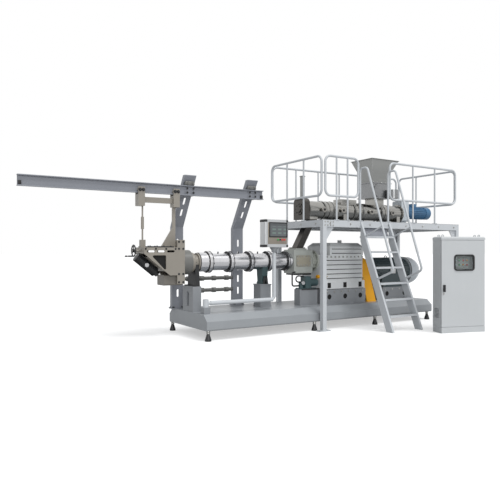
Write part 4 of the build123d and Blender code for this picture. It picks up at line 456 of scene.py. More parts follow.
# One finish for each material slot of the record.
FINISHES: dict[str, Finish] = {
    finish.name: finish
    for finish in (
        Paint("skid_grey", (0.56, 0.575, 0.59), 0.38, 0.12, dust=0.06),
        Casting("black_iron", (0.125, 0.129, 0.137), 0.45),
        Paint("column_grey", (0.52, 0.532, 0.547), 0.42),
        Paint("black_paint", (0.118, 0.122, 0.129), 0.38, 0.18, wear=0.5),
        Steel("tool_steel", (0.62, 0.61, 0.59), 0.30, Lay.ROUGH),
        Steel("barrel_steel", (0.84, 0.84, 0.85), 0.20, Lay.TURNED),
        Paint("teal_paint", (0.235, 0.32, 0.33), 0.40, 0.16),
        Casting("pale_casting", (0.667, 0.682, 0.651)),
        Paint("beige_paint", (0.54, 0.52, 0.487), 0.38, 0.20),
        Paint("olive_paint", (0.61, 0.59, 0.53), 0.40, 0.14),
        Casting("gearbox_grey", (0.80, 0.81, 0.815), 0.42),
        Paint("guard_yellow", (0.85, 0.60, 0.0), 0.58, 0.10),
        Casting("motor_slate", (0.215, 0.265, 0.28), 0.40),
        Paint("cowl_grey", (0.73, 0.755, 0.775), 0.30),
        Paint("pipe_dark", (0.41, 0.41, 0.40), 0.38, 0.18, wear=0.5),
        Paint("beam_grey", (0.52, 0.532, 0.56), 0.44),
        Paint("silver_paint", (0.735, 0.75, 0.765), 0.34, 0.08),
        Steel("panel_aluminium", (0.76, 0.768, 0.776), 0.42, Lay.LENGTHWISE, 0.12, 0.06),
        Display("screen_glass", (0.27, 0.29, 0.30)),
        TreadPlate("deck_plate", (0.549, 0.561, 0.573)),
        Steel("stainless", (0.63, 0.625, 0.61), 0.18, Lay.TURNED, 0.20),
        Steel("chute_dark", (0.34, 0.33, 0.32), 0.36, Lay.UPRIGHT, 0.2),
        Paint("blue_paint", (0.27, 0.44, 0.58), 0.38, 0.12),
        Steel("hopper_steel", (0.57, 0.575, 0.57), 0.44, Lay.UPRIGHT, 0.14),
        Paint("cabinet_grey", (0.725, 0.737, 0.745), 0.48, 0.05, 0.08),
        Moulding("black_plastic", (0.094, 0.098, 0.106)),
        Pane("window_glass", (0.82, 0.86, 0.88)),
        Paint("panel_beige", (0.769, 0.745, 0.69), 0.5, 0.06),
    )
}
ZINC = Steel("zinc_bolts", (0.66, 0.66, 0.65), 0.34, Lay.ROUGH)
BRASS = Steel("brass_fittings", (0.72, 0.60, 0.34), 0.30, Lay.ROUGH)
RUBBER = Moulding("black_rubber", (0.085, 0.085, 0.09), 0.62, 0.2)
BARE_PLATE = Steel("bare_plate", (0.78, 0.785, 0.79), 0.36, Lay.LENGTHWISE, 0.1, 0.06)
RED_CAP = Lens("red_cap", (0.80, 0.12, 0.10))
GREEN_CAP = Lens("green_cap", (0.13, 0.58, 0.26))
AMBER_CAP = Lens("amber_cap", (0.90, 0.60, 0.10))
WHITE_CAP = Lens("white_cap", (0.86, 0.87, 0.88))
# Near-black finish used as painted shade: sheets, discs and strips set in holes, pockets, windows and along
# the gearbox foot.
PAINTED_SHADE_BLACK = Moulding("painted_shade_black", (0.022, 0.022, 0.024), 0.85, 0.04)
PANEL_TAN = Paint("panel_tan", (0.53, 0.50, 0.46), 0.46, 0.10)
# CAD nodes that look different from the rest of their slot.
SPECIAL: dict[str, Finish] = {
    "feed_block": Casting("feed_block_casting", (0.66, 0.675, 0.655), 0.40),
    "feeder_housing": Steel("feeder_steel", (0.56, 0.565, 0.57), 0.30, Lay.UPRIGHT, 0.18),
    "panel_key_strip": PANEL_TAN,
    # Darker copy of beige_paint: painted shade for the gear case lying under the cutter frame.
    "cutter_gear_case": Paint("gear_case_painted_shade_beige", (0.43, 0.415, 0.39), 0.42, 0.20),
}


# ---------------------------------------------------------------- mesh work


def evenly(first: float, last: float, count: int) -> list[float]:
    """Numbers at equal steps from first to last."""
    return [first + (last - first) * number / (count - 1) for number in range(count)]


def middle(first: float, last: float) -> float:
    """The number halfway between two."""
    return (first + last) / 2.0


def facing(at: Sequence[float], way: Sequence[float]) -> Matrix:
    """A frame at a point whose Z looks along a direction."""
    return Matrix.Translation(at) @ Vector(way).to_track_quat("Z", "Y").to_matrix().to_4x4()


def add_bar(bm: bmesh.types.BMesh, place: Matrix, radius: float, depth: float, sides: int) -> list[Any]:
    """Add a straight bar to a mesh.

    Args:
        bm: the mesh.
        place: the frame of the bar's middle, with Z along it.
        radius: the radius over the corners.
        depth: the bar's length.
        sides: the number of flats.

    Returns:
        The new vertices.
    """
    made = bmesh.ops.create_cone(
        bm, cap_ends=True, segments=sides, radius1=radius, radius2=radius, depth=depth, matrix=place
    )
    return made["verts"]


def bevel(bm: bmesh.types.BMesh, edges: Iterable[bmesh.types.BMEdge], width: float, segments: int) -> None:
    """Round some edges of a mesh.

    Args:
        bm: the mesh.
        edges: the edges to round.
        width: the rounding's width.
        segments: the rounding's steps.
    """
    sort = {"offset_type": "OFFSET", "affect": "EDGES", "profile": 0.5, "clamp_overlap": True, "material": -1}
    bmesh.ops.bevel(bm, geom=list(edges), offset=width, segments=segments, **sort)


class Forge:
    """One piece in the making: shapes gathered in a bmesh, placed as they are made."""

    WASHER: Pair = (0.95, 0.12)  # radius and height for a bolt of size one
    HEAD: Pair = (0.58, 0.55)
    _bolt: Optional[bpy.types.Mesh] = None

    def __init__(self, name: str, place: Optional[Matrix] = None) -> None:
        """Start an empty piece.

        Args:
            name: the piece's name.
            place: a frame that the finished mesh is put in, if not the CAD's own.
        """
        self.name = name
        self.frame = place
        self.bm = bmesh.new()

    def _soften(self, verts: Iterable[bmesh.types.BMVert], width: float, segments: int) -> None:
        """Round the sharp edges of some fresh vertices."""
        edges = {e for v in verts for e in v.link_edges if e.is_manifold and e.calc_face_angle(0.0) > SHARP}
        bevel(self.bm, edges, width, segments)

    def block(self, one: Triple, other: Triple, rounding: float = 0.0015, segments: int = 2) -> None:
        """Add a box between two opposite corners with rounded edges.

        Args:
            one: the first corner.
            other: the corner opposite to it.
            rounding: the width of the rounding.
            segments: the steps of the rounding.
        """
        low, high = (Vector(ends) for ends in zip(*(sorted(pair) for pair in zip(one, other))))
        place = Matrix.Translation((high + low) / 2.0) @ Matrix.Diagonal((*(high - low), 1.0))
        made = bmesh.ops.create_cube(self.bm, size=1.0, matrix=place)
        self._soften(made["verts"], rounding, segments)

    def drum(
        self, at: Triple, way: Way, span: Pair, radius: float, sides: int = 24, rounding: float = 0.0012
    ) -> None:
        """Add a round bar or a hexagon along a direction.

        Args:
            at: a point on its axis.
            way: the axis's direction.
            span: where the bar starts and ends, as distances from the point.
            radius: the radius over the corners.
            sides: the number of flats.
            rounding: the width of the rounding of both rims.
        """
        centre = Vector(at) + Vector(way.value) * middle(*span)
        verts = add_bar(self.bm, facing(centre, way.value), radius, span[1] - span[0], sides)
        self._soften(verts, rounding, 1)

    def lathe(self, at: Triple, way: Way, profile: Sequence[Pair], steps: int, ring: bool = False) -> None:
        """Spin a profile round an axis.

        Args:
            at: the axis's origin.
            way: the axis's direction.
            profile: radius and height pairs, from one end to the other.
            steps: the number of steps in the full turn.
            ring: whether the profile closes on itself.
        """
        place = facing(at, way.value)
        verts = [self.bm.verts.new(place @ Vector((radius, 0.0, height))) for radius, height in profile]
        pairs = list(zip(verts, verts[1:])) + ([(verts[-1], verts[0])] if ring else [])
        edges = [self.bm.edges.new(pair) for pair in pairs]
        bmesh.ops.spin(
            self.bm,
            geom=verts + edges,
            cent=Vector(at),
            axis=Vector(way.value),
            angle=FULL_TURN,
            steps=steps,
            use_merge=True,
        )
        bmesh.ops.remove_doubles(self.bm, verts=list(self.bm.verts), dist=1e-6)

    def band(self, at: Triple, way: Way, inner: float, outer: float, width: float, steps: int = 48) -> None:
        """Add a flat ring with chamfered corners, centred on a point.

        Args:
            at: the ring's middle.
            way: the ring's axis.
            inner: the inside radius.
            outer: the outside radius.
            width: the ring's width along its axis.
            steps: the number of steps round it.
        """
        half, cut = width / 2.0, min(0.003, width / 5.0, (outer - inner) / 3.0)
        rise = [(inner, -half), (outer - cut, -half), (outer, -half + cut)]
        self.lathe(at, way, rise + [(radius, -height) for radius, height in reversed(rise)], steps, True)

    def plate(self, outline: Sequence[Pair], near: float, far: float) -> None:
        """Add a flat plate cut to an outline.

        Args:
            outline: the corners' X and Z, in order.
            near: the Y of the first face.
            far: the Y of the last face.
        """
        face = self.bm.faces.new([self.bm.verts.new((x, near, z)) for x, z in outline])
        grown = bmesh.ops.extrude_face_region(self.bm, geom=[face])["geom"]
        moved = [item for item in grown if isinstance(item, bmesh.types.BMVert)]
        bmesh.ops.translate(self.bm, verts=moved, vec=(0.0, far - near, 0.0))

    def tube(self, points: Sequence[Triple], radius: float, sides: int) -> None:
        """Add a bar that follows points with mitred corners.

        Args:
            points: the centre line.
            radius: the bar's radius.
            sides: the number of flats round it.
        """
        path = [Vector(point) for point in points]
        place = facing(path[0], path[1] - path[0])
        made = bmesh.ops.create_circle(self.bm, cap_ends=True, radius=radius, segments=sides, matrix=place)
        cap = made["verts"][0].link_faces[0]
        for index in range(1, len(path)):
            heading = (path[index] - path[index - 1]).normalized()
            onward = (path[index + 1] - path[index]).normalized() if index + 1 < len(path) else heading
            mitre = (heading + onward).normalized()
            grown = bmesh.ops.extrude_face_region(self.bm, geom=[cap])["geom"]
            cap = next(item for item in grown if isinstance(item, bmesh.types.BMFace))
            for vert in cap.verts:
                vert.co += heading * ((path[index] - vert.co).dot(mitre) / heading.dot(mitre))

    @classmethod
    def bolt_mesh(cls) -> bpy.types.Mesh:
        """The unit bolt head with its washer, made once and copied.

        Returns:
            The mesh, standing on its washer and looking along Z.
        """
        if cls._bolt is None:
            made = bmesh.new()
            (washer, thick), (head, tall) = cls.WASHER, cls.HEAD
            add_bar(made, Matrix.Translation((0.0, 0.0, thick / 2.0)), washer, thick, 12)
            verts = add_bar(made, Matrix.Translation((0.0, 0.0, thick + tall / 2.0)), head, tall, 6)
            rim = {e for v in verts for e in v.link_edges if all(w.co.z > tall for w in e.verts)}
            bevel(made, rim, 0.07, 1)
            cls._bolt = bpy.data.meshes.new("unit_bolt")
            made.to_mesh(cls._bolt)
            made.free()
        return cls._bolt

    def bolt(self, at: Triple, way: Way, size: float) -> None:
        """Copy the unit bolt head to a place.

        Args:
            at: where the washer sits.
            way: the way the head faces.
            size: the head's width in metres.
        """
        before = set(self.bm.verts)
        self.bm.from_mesh(self.bolt_mesh())
        place = facing(at, way.value) @ Matrix.Scale(size, 4)
        bmesh.ops.transform(self.bm, matrix=place, verts=[v for v in self.bm.verts if v not in before])

    def bolt_circle(
        self, at: Triple, way: Way, radius: float, count: int, size: float, start: float = 0.0
    ) -> None:
        """Set bolts evenly round a circle.

        Args:
            at: the circle's middle.
            way: the way the heads face.
            radius: the circle's radius.
            count: the number of bolts.
            size: a head's width.
            start: the first bolt's angle in radians.
        """
        place = facing(at, way.value)
        for number in range(count):
            angle = start + FULL_TURN * number / count
            spot = place @ Vector((radius * math.cos(angle), radius * math.sin(angle), 0.0))
            self.bolt(tuple(spot), way, size)

    def bolt_rows(
        self, xs: Sequence[float], ys: Sequence[float], zs: Sequence[float], way: Way, size: float
    ) -> None:
        """Set bolts at every mix of the given coordinates."""
        for spot in product(xs, ys, zs):
            self.bolt(spot, way, size)

    def bolt_faces(self, xs: Sequence[float], ys: Pair, zs: Sequence[float], size: float) -> None:
        """Set the same bolts on a front face and a back face."""
        for y, way in zip(ys, (Way.FRONT, Way.BACK)):
            self.bolt_rows(xs, (y,), zs, way, size)

    def done(self, slot: str, finish: Optional[Finish] = None, body: Body = Body.PLANT) -> None:
        """Close the piece, dress it and hang it on its body.

        Args:
            slot: the record's material slot whose finish it wears unless another finish is given.
            finish: the finish it wears, if not the slot's own.
            body: the CAD body it rides on.
        """
        bmesh.ops.recalc_face_normals(self.bm, faces=list(self.bm.faces))
        if self.frame is not None:
            bmesh.ops.transform(self.bm, matrix=self.frame, verts=list(self.bm.verts))
        mesh = bpy.data.meshes.new(self.name)
        self.bm.to_mesh(mesh)
        self.bm.free()
        mesh.polygons.foreach_set("use_smooth", [True] * len(mesh.polygons))
        mesh.set_sharp_from_angle(angle=SHARP)
        mesh.materials.append((finish or FINISHES[slot]).material())
        piece = bpy.data.objects.new(self.name, mesh)
        bpy.context.scene.collection.objects.link(piece)
        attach(piece, body.value)
        LOG.info("%s: %d faces on %s", self.name, len(mesh.polygons), body.value)


def dress() -> None:
    """Give each CAD node the finish of its slot in the record, or its own one."""
    for row in frame["record"]["subparts"]:
        coat = SPECIAL.get(row["node"], FINISHES[row["material_slot"]]).material()
        materials = frame["nodes"][row["node"]].data.materials
        materials.clear()
        materials.append(coat)
        LOG.info("%s wears %s", row["node"], coat.name)


# ---------------------------------------------------------------- sub-assemblies


class Assembly(ABC):
    """A part of the machine that gets small fittings."""

    @abstractmethod
    def fit(self) -> None:
        """Add the small fittings."""


@dataclass(frozen=True)
class Pedestal:
    """A pedestal's row of bolts and its round holes, the same on the front and the back."""

    node: str
    bolts: int
    inset: float
    drop: float
    hole_xs: Floats
    hole_z: float


@dataclass
class Skid(Assembly):
    """The long base with its levelling feet, columns and pedestals."""

    foot_xs: Floats = (0.0, 2.0765, 3.528, 4.98)
    foot_ys: Floats = (0.0, 1.33)
    cone_top: float = 0.114
    underside: float = 0.155
    nut_radius: float = 0.031
    nut_height: float = 0.020
    thin_nut: float = 0.014
    bolt: float = 0.018
    hole_radius: float = 0.0475
    hole_shade_span: Pair = (0.003, 0.026)
    pedestals: tuple[Pedestal, ...] = (
        Pedestal("gearbox_pedestal", 6, 0.08, 0.045, (2.675, 3.06, 3.445), 0.535),
        Pedestal("motor_pedestal", 4, 0.06, 0.04, (4.22, 4.71), 0.5275),
    )

    def fit(self) -> None:
        """Add lock nuts on the feet, bolts on the pedestals, and near-black discs of painted shade just
        inside their round holes.
        """
        nuts = Forge("foot_lock_nuts")
        for x, y in product(self.foot_xs, self.foot_ys):
            nuts.drum((x, y, self.underside), Way.UP, (-self.nut_height, 0.0), self.nut_radius, 6)
            nuts.drum((x, y, self.cone_top), Way.UP, (0.0, self.thin_nut), self.nut_radius, 6)
        nuts.done("tool_steel", ZINC)
        bolts, hole_shades = Forge("pedestal_bolts"), Forge("pedestal_hole_painted_shade")
        for part in self.pedestals:
            low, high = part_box(part.node)
            xs = evenly(low[0] + part.inset, high[0] - part.inset, part.bolts)
            bolts.bolt_faces(xs, (low[1], high[1]), (high[2] - part.drop,), self.bolt)
            for x in part.hole_xs:
                for y, inward in ((low[1], Way.BACK), (high[1], Way.FRONT)):
                    # Near-black disc a few millimetres inside each hole: painted shade in the hollow.
                    hole_shades.drum((x, y, part.hole_z), inward, self.hole_shade_span, self.hole_radius, 32, 0.002)
        bolts.done("tool_steel", ZINC)
        hole_shades.done("black_plastic", PAINTED_SHADE_BLACK)


@dataclass
class Barrel(Assembly):
    """The die end, the barrel sections and the feed block. Rings are inner and outer radius and width."""

    joints: Floats = (0.335, 0.733, 1.131, 1.529, 1.927)
    section: float = 0.398
    flange: float = 0.032
    joint_ring: Triple = (0.176, 0.184, 0.013)
    joint_face: Triple = (0.144, 0.177, 0.006)
    bolt_ring: float = 0.162
    bolt: float = 0.021
    bolt_turn: float = 0.13
    jacket_x: float = 0.225
    jacket: Triple = (0.12, 0.160, 0.148)
    jacket_rim_x: float = 0.319
    jacket_rim: Triple = (0.17, 0.1815, 0.030)
    knob_foot: float = 1.339
    brace: Outline = ((0.0, 0.0), (0.075, 0.0), (0.045, 0.14), (0.02, 0.14))
    brace_ys: Pair = (-0.008, 0.006)
    column_edge: float = 0.03
    column_bolt: float = 0.026
    cover_edge: float = 0.022
    cover_bolt: float = 0.016
    adaptor_x: float = 0.045
    adaptor_ring: float = 0.141
    adaptor_bolt: float = 0.019
    lantern_inset: float = 0.024
    lantern_ring: float = 0.177
    lantern_bolt: float = 0.018

    def fit(self) -> None:
        """Add joint rings, ring bolts, the adaptor's jacket and the probe knobs."""
        rings, faces = Forge("barrel_joint_rings"), Forge("barrel_bolt_faces")
        bolts = Forge("barrel_ring_bolts")
        for joint in self.joints:
            last = joint == self.joints[-1]
            left, right = joint - self.flange, joint if last else joint + self.flange
            rings.band((right - 0.007, *BARREL_AXIS), Way.RIGHT, *self.joint_ring)
            faces.band((left - 0.001, *BARREL_AXIS), Way.RIGHT, *self.joint_face)
            for x, way in ((left, Way.LEFT), (right, Way.RIGHT))[: 1 if last else 2]:
                bolts.bolt_circle((x, *BARREL_AXIS), way, self.bolt_ring, 12, self.bolt, self.bolt_turn)
        rings.done("black_paint")
        faces.done("black_paint")
        bolts.done("black_iron")
        jacket = Forge("adaptor_jacket")
        jacket.band((self.jacket_x, *BARREL_AXIS), Way.RIGHT, *self.jacket)
        jacket.band((self.jacket_rim_x, *BARREL_AXIS), Way.RIGHT, *self.jacket_rim)
        jacket.done("barrel_steel")
        knobs = Forge("barrel_probe_knobs")
        for joint in self.joints[:-1]:
            foot = (joint + self.section / 2.0, BARREL_AXIS[0], self.knob_foot)
            knobs.drum(foot, Way.UP, (0.0, 0.016), 0.013, 6)
            knobs.drum(foot, Way.UP, (0.014, 0.034), 0.011, 20, 0.003)
        knobs.done("black_plastic")
        self._covers()

    def _covers(self) -> None:
        """Add the saddle's braces and the bolts of the column, adaptor, covers and lantern."""
        low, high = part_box("barrel_saddle")
        braces = Forge("saddle_braces")
        for x, side in ((low[0], 1.0), (high[0], -1.0)):
            outline = [(x + side * across, low[2] + up) for across, up in self.brace]
            braces.plate(outline, *(low[1] + y for y in self.brace_ys))
        braces.done("black_iron")
        low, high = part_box("front_column")
        xs = evenly(low[0] + self.column_edge, high[0] - self.column_edge, 5)
        ys = (low[1] + self.column_edge, high[1] - self.column_edge)
        bolts = Forge("column_top_bolts")
        bolts.bolt_rows(xs, ys, (high[2],), Way.UP, self.column_bolt)
        bolts.done("black_iron")
        low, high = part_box("feed_cover")
        xs = evenly(low[0] + self.cover_edge, high[0] - self.cover_edge, 5)
        zs = evenly(low[2] + self.cover_edge, high[2] - self.cover_edge, 3)
        bolts = Forge("feed_cover_bolts")
        bolts.bolt_rows(xs, (low[1],), zs[::2], Way.FRONT, self.cover_bolt)
        bolts.bolt_rows(xs[::4], (low[1],), zs[1:2], Way.FRONT, self.cover_bolt)
        bolts.done("tool_steel", ZINC)
        bolts = Forge("adaptor_bolts")
        bolts.bolt_circle((self.adaptor_x, *BARREL_AXIS), Way.RIGHT, self.adaptor_ring, 10, self.adaptor_bolt)
        bolts.done("black_iron")
        low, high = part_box("gearbox_lantern")
        bolts = Forge("lantern_bolts")
        for x, way in ((low[0] + self.lantern_inset, Way.RIGHT), (high[0] - self.lantern_inset, Way.LEFT)):
            at = (x, *BARREL_AXIS)
            bolts.bolt_circle(at, way, self.lantern_ring, 8, self.lantern_bolt, HALF_STEP_OF_8)
        bolts.done("tool_steel", ZINC)


@dataclass
class Cutter(Assembly):
    """The die-face cutter on its trolley, with its handwheel."""

    plate_ys: Pair = (0.47, 0.86)
    top_xs: Floats = (-0.825, -0.66, -0.49, -0.33)
    top_z: float = 1.418
    top_bolt: float = 0.017
    head_xs: Pair = (-0.272, -0.198)
    head_zs: Floats = (0.89, 1.02, 1.42, 1.53)
    head_bolt: float = 0.019
    roller_xs: Floats = (-0.86875, -0.81625, -0.28075, -0.22825)
    roller_z: float = 2.335
    axle_nut: float = 0.030
    window: Outline = ((-0.74, 1.325), (-0.478, 1.325), (-0.478, 1.05))
    window_shade_depths: Pair = (0.020, 0.028)
    guide_xs: Pair = (-0.80, -0.36)
    guide_depths: Pair = (0.001, 0.026)
    guide_zs: Pair = (1.439, 1.46)
    guide_bolt: float = 0.015
    cap_shift: float = -0.02
    cap_span: Pair = (-0.012, 0.018)
    cap_radius: float = 0.034
    knob: Outline = (
        (0.0, 0.0), (0.006, 0.0), (0.006, 0.012), (0.011, 0.018), (0.013, 0.040),
        (0.010, 0.058), (0.0, 0.062),
    )

    def fit(self) -> None:
        """Add guide bars, plate bolts, near-black sheets of painted shade in the windows, the motor's cap,
        axle nuts and the crank knob.
        """
        sides = tuple(zip(self.plate_ys, (1.0, -1.0)))
        guides = Forge("cutter_guide_bars")
        for y, side in sides:
            near, far = (y + side * depth for depth in self.guide_depths)
            foot, top = self.guide_zs
            guides.block((self.guide_xs[0], near, foot), (self.guide_xs[1], far, top), 0.003)
            xs = evenly(self.guide_xs[0] + 0.05, self.guide_xs[1] - 0.05, 4)
            guides.bolt_rows(xs, (middle(near, far),), (top,), Way.UP, self.guide_bolt)
        guides.done("black_iron", body=Body.CUTTER)
        bolts = Forge("cutter_plate_bolts")
        bolts.bolt_faces(self.top_xs, self.plate_ys, (self.top_z,), self.top_bolt)
        bolts.bolt_faces(self.head_xs, self.plate_ys, self.head_zs, self.head_bolt)
        bolts.done("black_iron", body=Body.CUTTER)
        window_shades = Forge("cutter_window_painted_shade")
        # Near-black sheets set just inside the side plates' windows: painted shade in the openings.
        for y, side in sides:
            window_shades.plate(self.window, *(y + side * depth for depth in self.window_shade_depths))
        window_shades.done("black_plastic", PAINTED_SHADE_BLACK, Body.CUTTER)
        low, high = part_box("cutter_motor")
        face = (middle(low[0], high[0]) + self.cap_shift, low[1], middle(low[2], high[2]))
        cap = Forge("cutter_motor_cap")
        cap.drum(face, Way.FRONT, self.cap_span, self.cap_radius, 28, 0.006)
        cap.done("panel_aluminium", BARE_PLATE, Body.CUTTER)
        low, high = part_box("cutter_trolley")
        nuts = Forge("trolley_axle_nuts")
        nuts.bolt_faces(self.roller_xs, (low[1], high[1]), (self.roller_z,), self.axle_nut)
        nuts.done("black_iron", body=Body.CUTTER)
        low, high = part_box("cutter_handwheel")
        rim = (low[0] + 0.004, middle(low[1], high[1]), low[2] + 0.012)
        knob = Forge("handwheel_knob")
        knob.lathe(rim, Way.LEFT, self.knob, 20)
        knob.done("black_plastic", body=Body.HANDWHEEL)


@dataclass
class Drive(Assembly):
    """Gearbox, coupling guard, main motor and the oil unit beside them."""

    motor_axis: Pair = (0.665, 0.97)
    case_ys: Pair = (0.32, 1.01)
    flange_z: float = 1.272
    case_top: float = 1.30
    sight_z: float = 0.90
    drain_z: float = 0.86
    side_inset: float = 0.055
    bay_xs: Floats = (2.675, 3.06, 3.445)
    pocket_zs: Pair = (0.696, 0.794)
    pocket_half: float = 0.042
    pocket_shade_depths: Pair = (0.004, 0.045)
    foot_shade_zs: Pair = (0.664, 0.679)
    rib_xs: Pair = (2.625, 3.495)
    rib_zs: Floats = (0.892, 0.976, 1.06, 1.144, 1.228)
    rib_shade_line: Pair = (-0.028, -0.0125)
    cover_rib_zs: Pair = (1.345, 1.425)
    cover_rib: float = 0.022
    cover_shade_line: Pair = (-0.014, 0.001)
    shade_line_half: float = 0.003
    guard_screws: Outline = ((0.306, 0.45), (0.402, 0.75), (0.486, 1.0))
    foot_bolt_xs: Pair = (4.19, 4.74)
    foot_bolt_ys: Pair = (0.395, 0.935)
    foot_top: float = 0.695
    end_shield_x: float = 4.01
    end_shield_ring: float = 0.244
    plate_face: float = 0.3875
    plate_xs: Pair = (4.36, 4.50)
    plate_zs: Pair = (0.925, 1.015)
    cowl_band_x: float = 4.97
    cowl_band: Triple = (0.283, 0.2885, 0.026)
    cowl_radius: float = 0.285
    dome_start: float = 5.09
    dome_length: float = 0.29
    dome_rings: Floats = (0.08, 0.13, 0.18, 0.225)
    bend_centre: Triple = (2.075, 0.45, 0.875)
    bend_reach: Pair = (0.06, 0.055)
    bend_radius: float = 0.0125
    oil_cap: Pair = (0.47, 0.905)
    cap_span: Pair = (-0.004, 0.05)
    cap_radius: float = 0.034

    def fit(self) -> None:
        """Add the gearbox's, guard's and motor's fittings."""
        low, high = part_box("gearbox_case")
        front, back = self.case_ys
        bolts = Forge("gearbox_flange_bolts")
        bolts.bolt_faces(evenly(low[0] + 0.075, high[0] - 0.075, 10), self.case_ys, (self.flange_z,), 0.020)
        xs = (low[0] + 0.05, low[0] + 0.11)
        bolts.bolt_rows(xs, evenly(front + 0.07, back - 0.07, 5), (self.case_top,), Way.UP, 0.022)
        bolts.done("tool_steel", ZINC)
        sight = Forge("gearbox_oil_sight")
        x = low[0] + self.side_inset
        sight.band((x, front - 0.004, self.sight_z), Way.FRONT, 0.016, 0.028, 0.016, 28)
        sight.drum((x, front, self.sight_z), Way.FRONT, (-0.001, 0.007), 0.0165)
        sight.bolt((high[0] - self.side_inset, front, self.drain_z), Way.FRONT, 0.030)
        sight.done("olive_paint", BRASS)
        # Near-black sheets set almost flush in the pockets and a near-black strip along the foot: painted
        # shade.
        pocket_shades, foot_shade_strip = Forge("gearbox_pocket_painted_shade"), Forge("gearbox_foot_painted_shade")
        for y, inward in ((low[1], 1.0), (high[1], -1.0)):
            near, far = (y + inward * depth for depth in self.pocket_shade_depths)
            for x in self.bay_xs:
                foot, top = self.pocket_zs
                pocket_shades.block((x - self.pocket_half, near, foot), (x + self.pocket_half, far, top), 0.002)
            foot, top = self.foot_shade_zs
            foot_shade_strip.block((low[0] + 0.004, y, foot), (high[0] - 0.06, y + inward * 0.004, top), 0.001)
        pocket_shades.done("black_plastic", PAINTED_SHADE_BLACK)
        foot_shade_strip.done("black_plastic", PAINTED_SHADE_BLACK)
        self._ribs()
        low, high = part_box("coupling_guard")
        screws = Forge("guard_screws")
        for y, z in self.guard_screws:
            for mirrored in (y, 2.0 * self.motor_axis[0] - y):
                screws.bolt((low[0], mirrored, z), Way.LEFT, 0.017)
                screws.bolt((high[0], mirrored, z), Way.RIGHT, 0.017)
        screws.done("black_iron")
        self._motor()
        self._oil_unit()

    def _ribs(self) -> None:
        """Add painted shade lines under the case's ribs, and ribs with painted shade lines under them on the
        cover.
        """
        seams_and_shade_lines, ribs = Forge("gearbox_rib_painted_shade"), Forge("gearbox_cover_ribs")
        low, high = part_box("gearbox_cover")
        cover_xs = (low[0] + 0.05, high[0] - 0.05)

        def shade_line(xs: Pair, y: float, z: float, drop: Pair) -> None:
            """Add one dark strip of painted shade across a face."""
            half = self.shade_line_half
            seams_and_shade_lines.block((xs[0], y - half, z + drop[0]), (xs[1], y + half, z + drop[1]), 0.001)

        # Dark strips just under each rib, on both faces, stand in for the ribs' shadows: painted shade.
        for z, y in product(self.rib_zs, self.case_ys):
            shade_line(self.rib_xs, y, z, self.rib_shade_line)
        for z, (y, side) in product(self.cover_rib_zs, ((low[1], -1.0), (high[1], 1.0))):
            near, far = y + side * 0.013, y - side * 0.002
            ribs.block((cover_xs[0], near, z), (cover_xs[1], far, z + self.cover_rib), 0.004)
            shade_line(cover_xs, y, z, self.cover_shade_line)
        ribs.done("gearbox_grey")
        seams_and_shade_lines.done("black_paint")

    def _motor(self) -> None:
        """Add foot bolts, a bare plate on the fins and the cowl's rings."""
        bolts = Forge("motor_foot_bolts")
        bolts.bolt_rows(self.foot_bolt_xs, self.foot_bolt_ys, (self.foot_top,), Way.UP, 0.034)
        shield = (self.end_shield_x, *self.motor_axis)
        bolts.bolt_circle(shield, Way.LEFT, self.end_shield_ring, 8, 0.020, HALF_STEP_OF_8)
        bolts.done("tool_steel", ZINC)
        plate = Forge("motor_bare_plate")
        (left, right), (foot, top) = self.plate_xs, self.plate_zs
        face = self.plate_face - 0.003
        plate.block((left, face, foot), (right, self.plate_face + 0.002, top), 0.0012)
        corners_x, corners_z = (left + 0.01, right - 0.01), (foot + 0.01, top - 0.01)
        plate.bolt_rows(corners_x, (face,), corners_z, Way.FRONT, 0.006)
        plate.done("panel_aluminium", BARE_PLATE)
        rings = Forge("cowl_rings")
        rings.band((self.cowl_band_x, *self.motor_axis), Way.RIGHT, *self.cowl_band)
        for radius in self.dome_rings:
            x = self.dome_start + self.dome_length * math.sqrt(1.0 - (radius / self.cowl_radius) ** 2)
            at = (x - 0.004, *self.motor_axis)
            rings.band(at, Way.RIGHT, radius - 0.007, radius + 0.002, 0.012)
        rings.done("black_paint")

    def _oil_unit(self) -> None:
        """Add a black strip along the stand's top edge, a black slab of painted shade above the stand, a bent
        pipe, the filler cap and a gauge on the oil unit.
        """
        low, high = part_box("oil_unit_stand")
        # A black strip along the stand's top front edge, then a black slab of painted shade above the stand.
        strip_and_shade = Forge("oil_stand_strip_and_painted_shade")
        lip = (low[0] + 0.04, low[1] - 0.012, high[2] - 0.012)
        strip_and_shade.block(lip, (high[0] + 0.05, low[1] + 0.03, high[2] + 0.010), 0.002)
        strip_and_shade.block((2.05, 0.53, 0.94), (2.43, 0.80, 0.972), 0.003)
        strip_and_shade.done("black_paint")
        bend = Forge("oil_return_bend")
        (x, y, z), (across, up) = self.bend_centre, self.bend_reach
        turns = [math.radians(angle) for angle in range(80, 291, 15)]
        loop = [(x + across * math.cos(turn), y, z + up * math.sin(turn)) for turn in turns]
        bend.tube([(2.19, 0.47, 0.925), *loop, (2.19, 0.46, 0.805)], self.bend_radius, 14)
        bend.done("black_paint")
        cap = Forge("gearbox_oil_cap")
        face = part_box("gearbox_case")[0][0]
        cap.drum((face, *self.oil_cap), Way.LEFT, self.cap_span, self.cap_radius, 28, 0.006)
        cap.done("guard_yellow")
        low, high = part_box("oil_pump_unit")
        x, y, z = low[0] + 0.05, low[1], middle(low[2], high[2])
        gauge = Forge("oil_gauge")
        gauge.band((x, y - 0.012, z), Way.FRONT, 0.028, 0.034, 0.026, 28)
        gauge.drum((x, y, z), Way.FRONT, (-0.004, 0.016), 0.0285)
        gauge.done("panel_aluminium", BARE_PLATE)


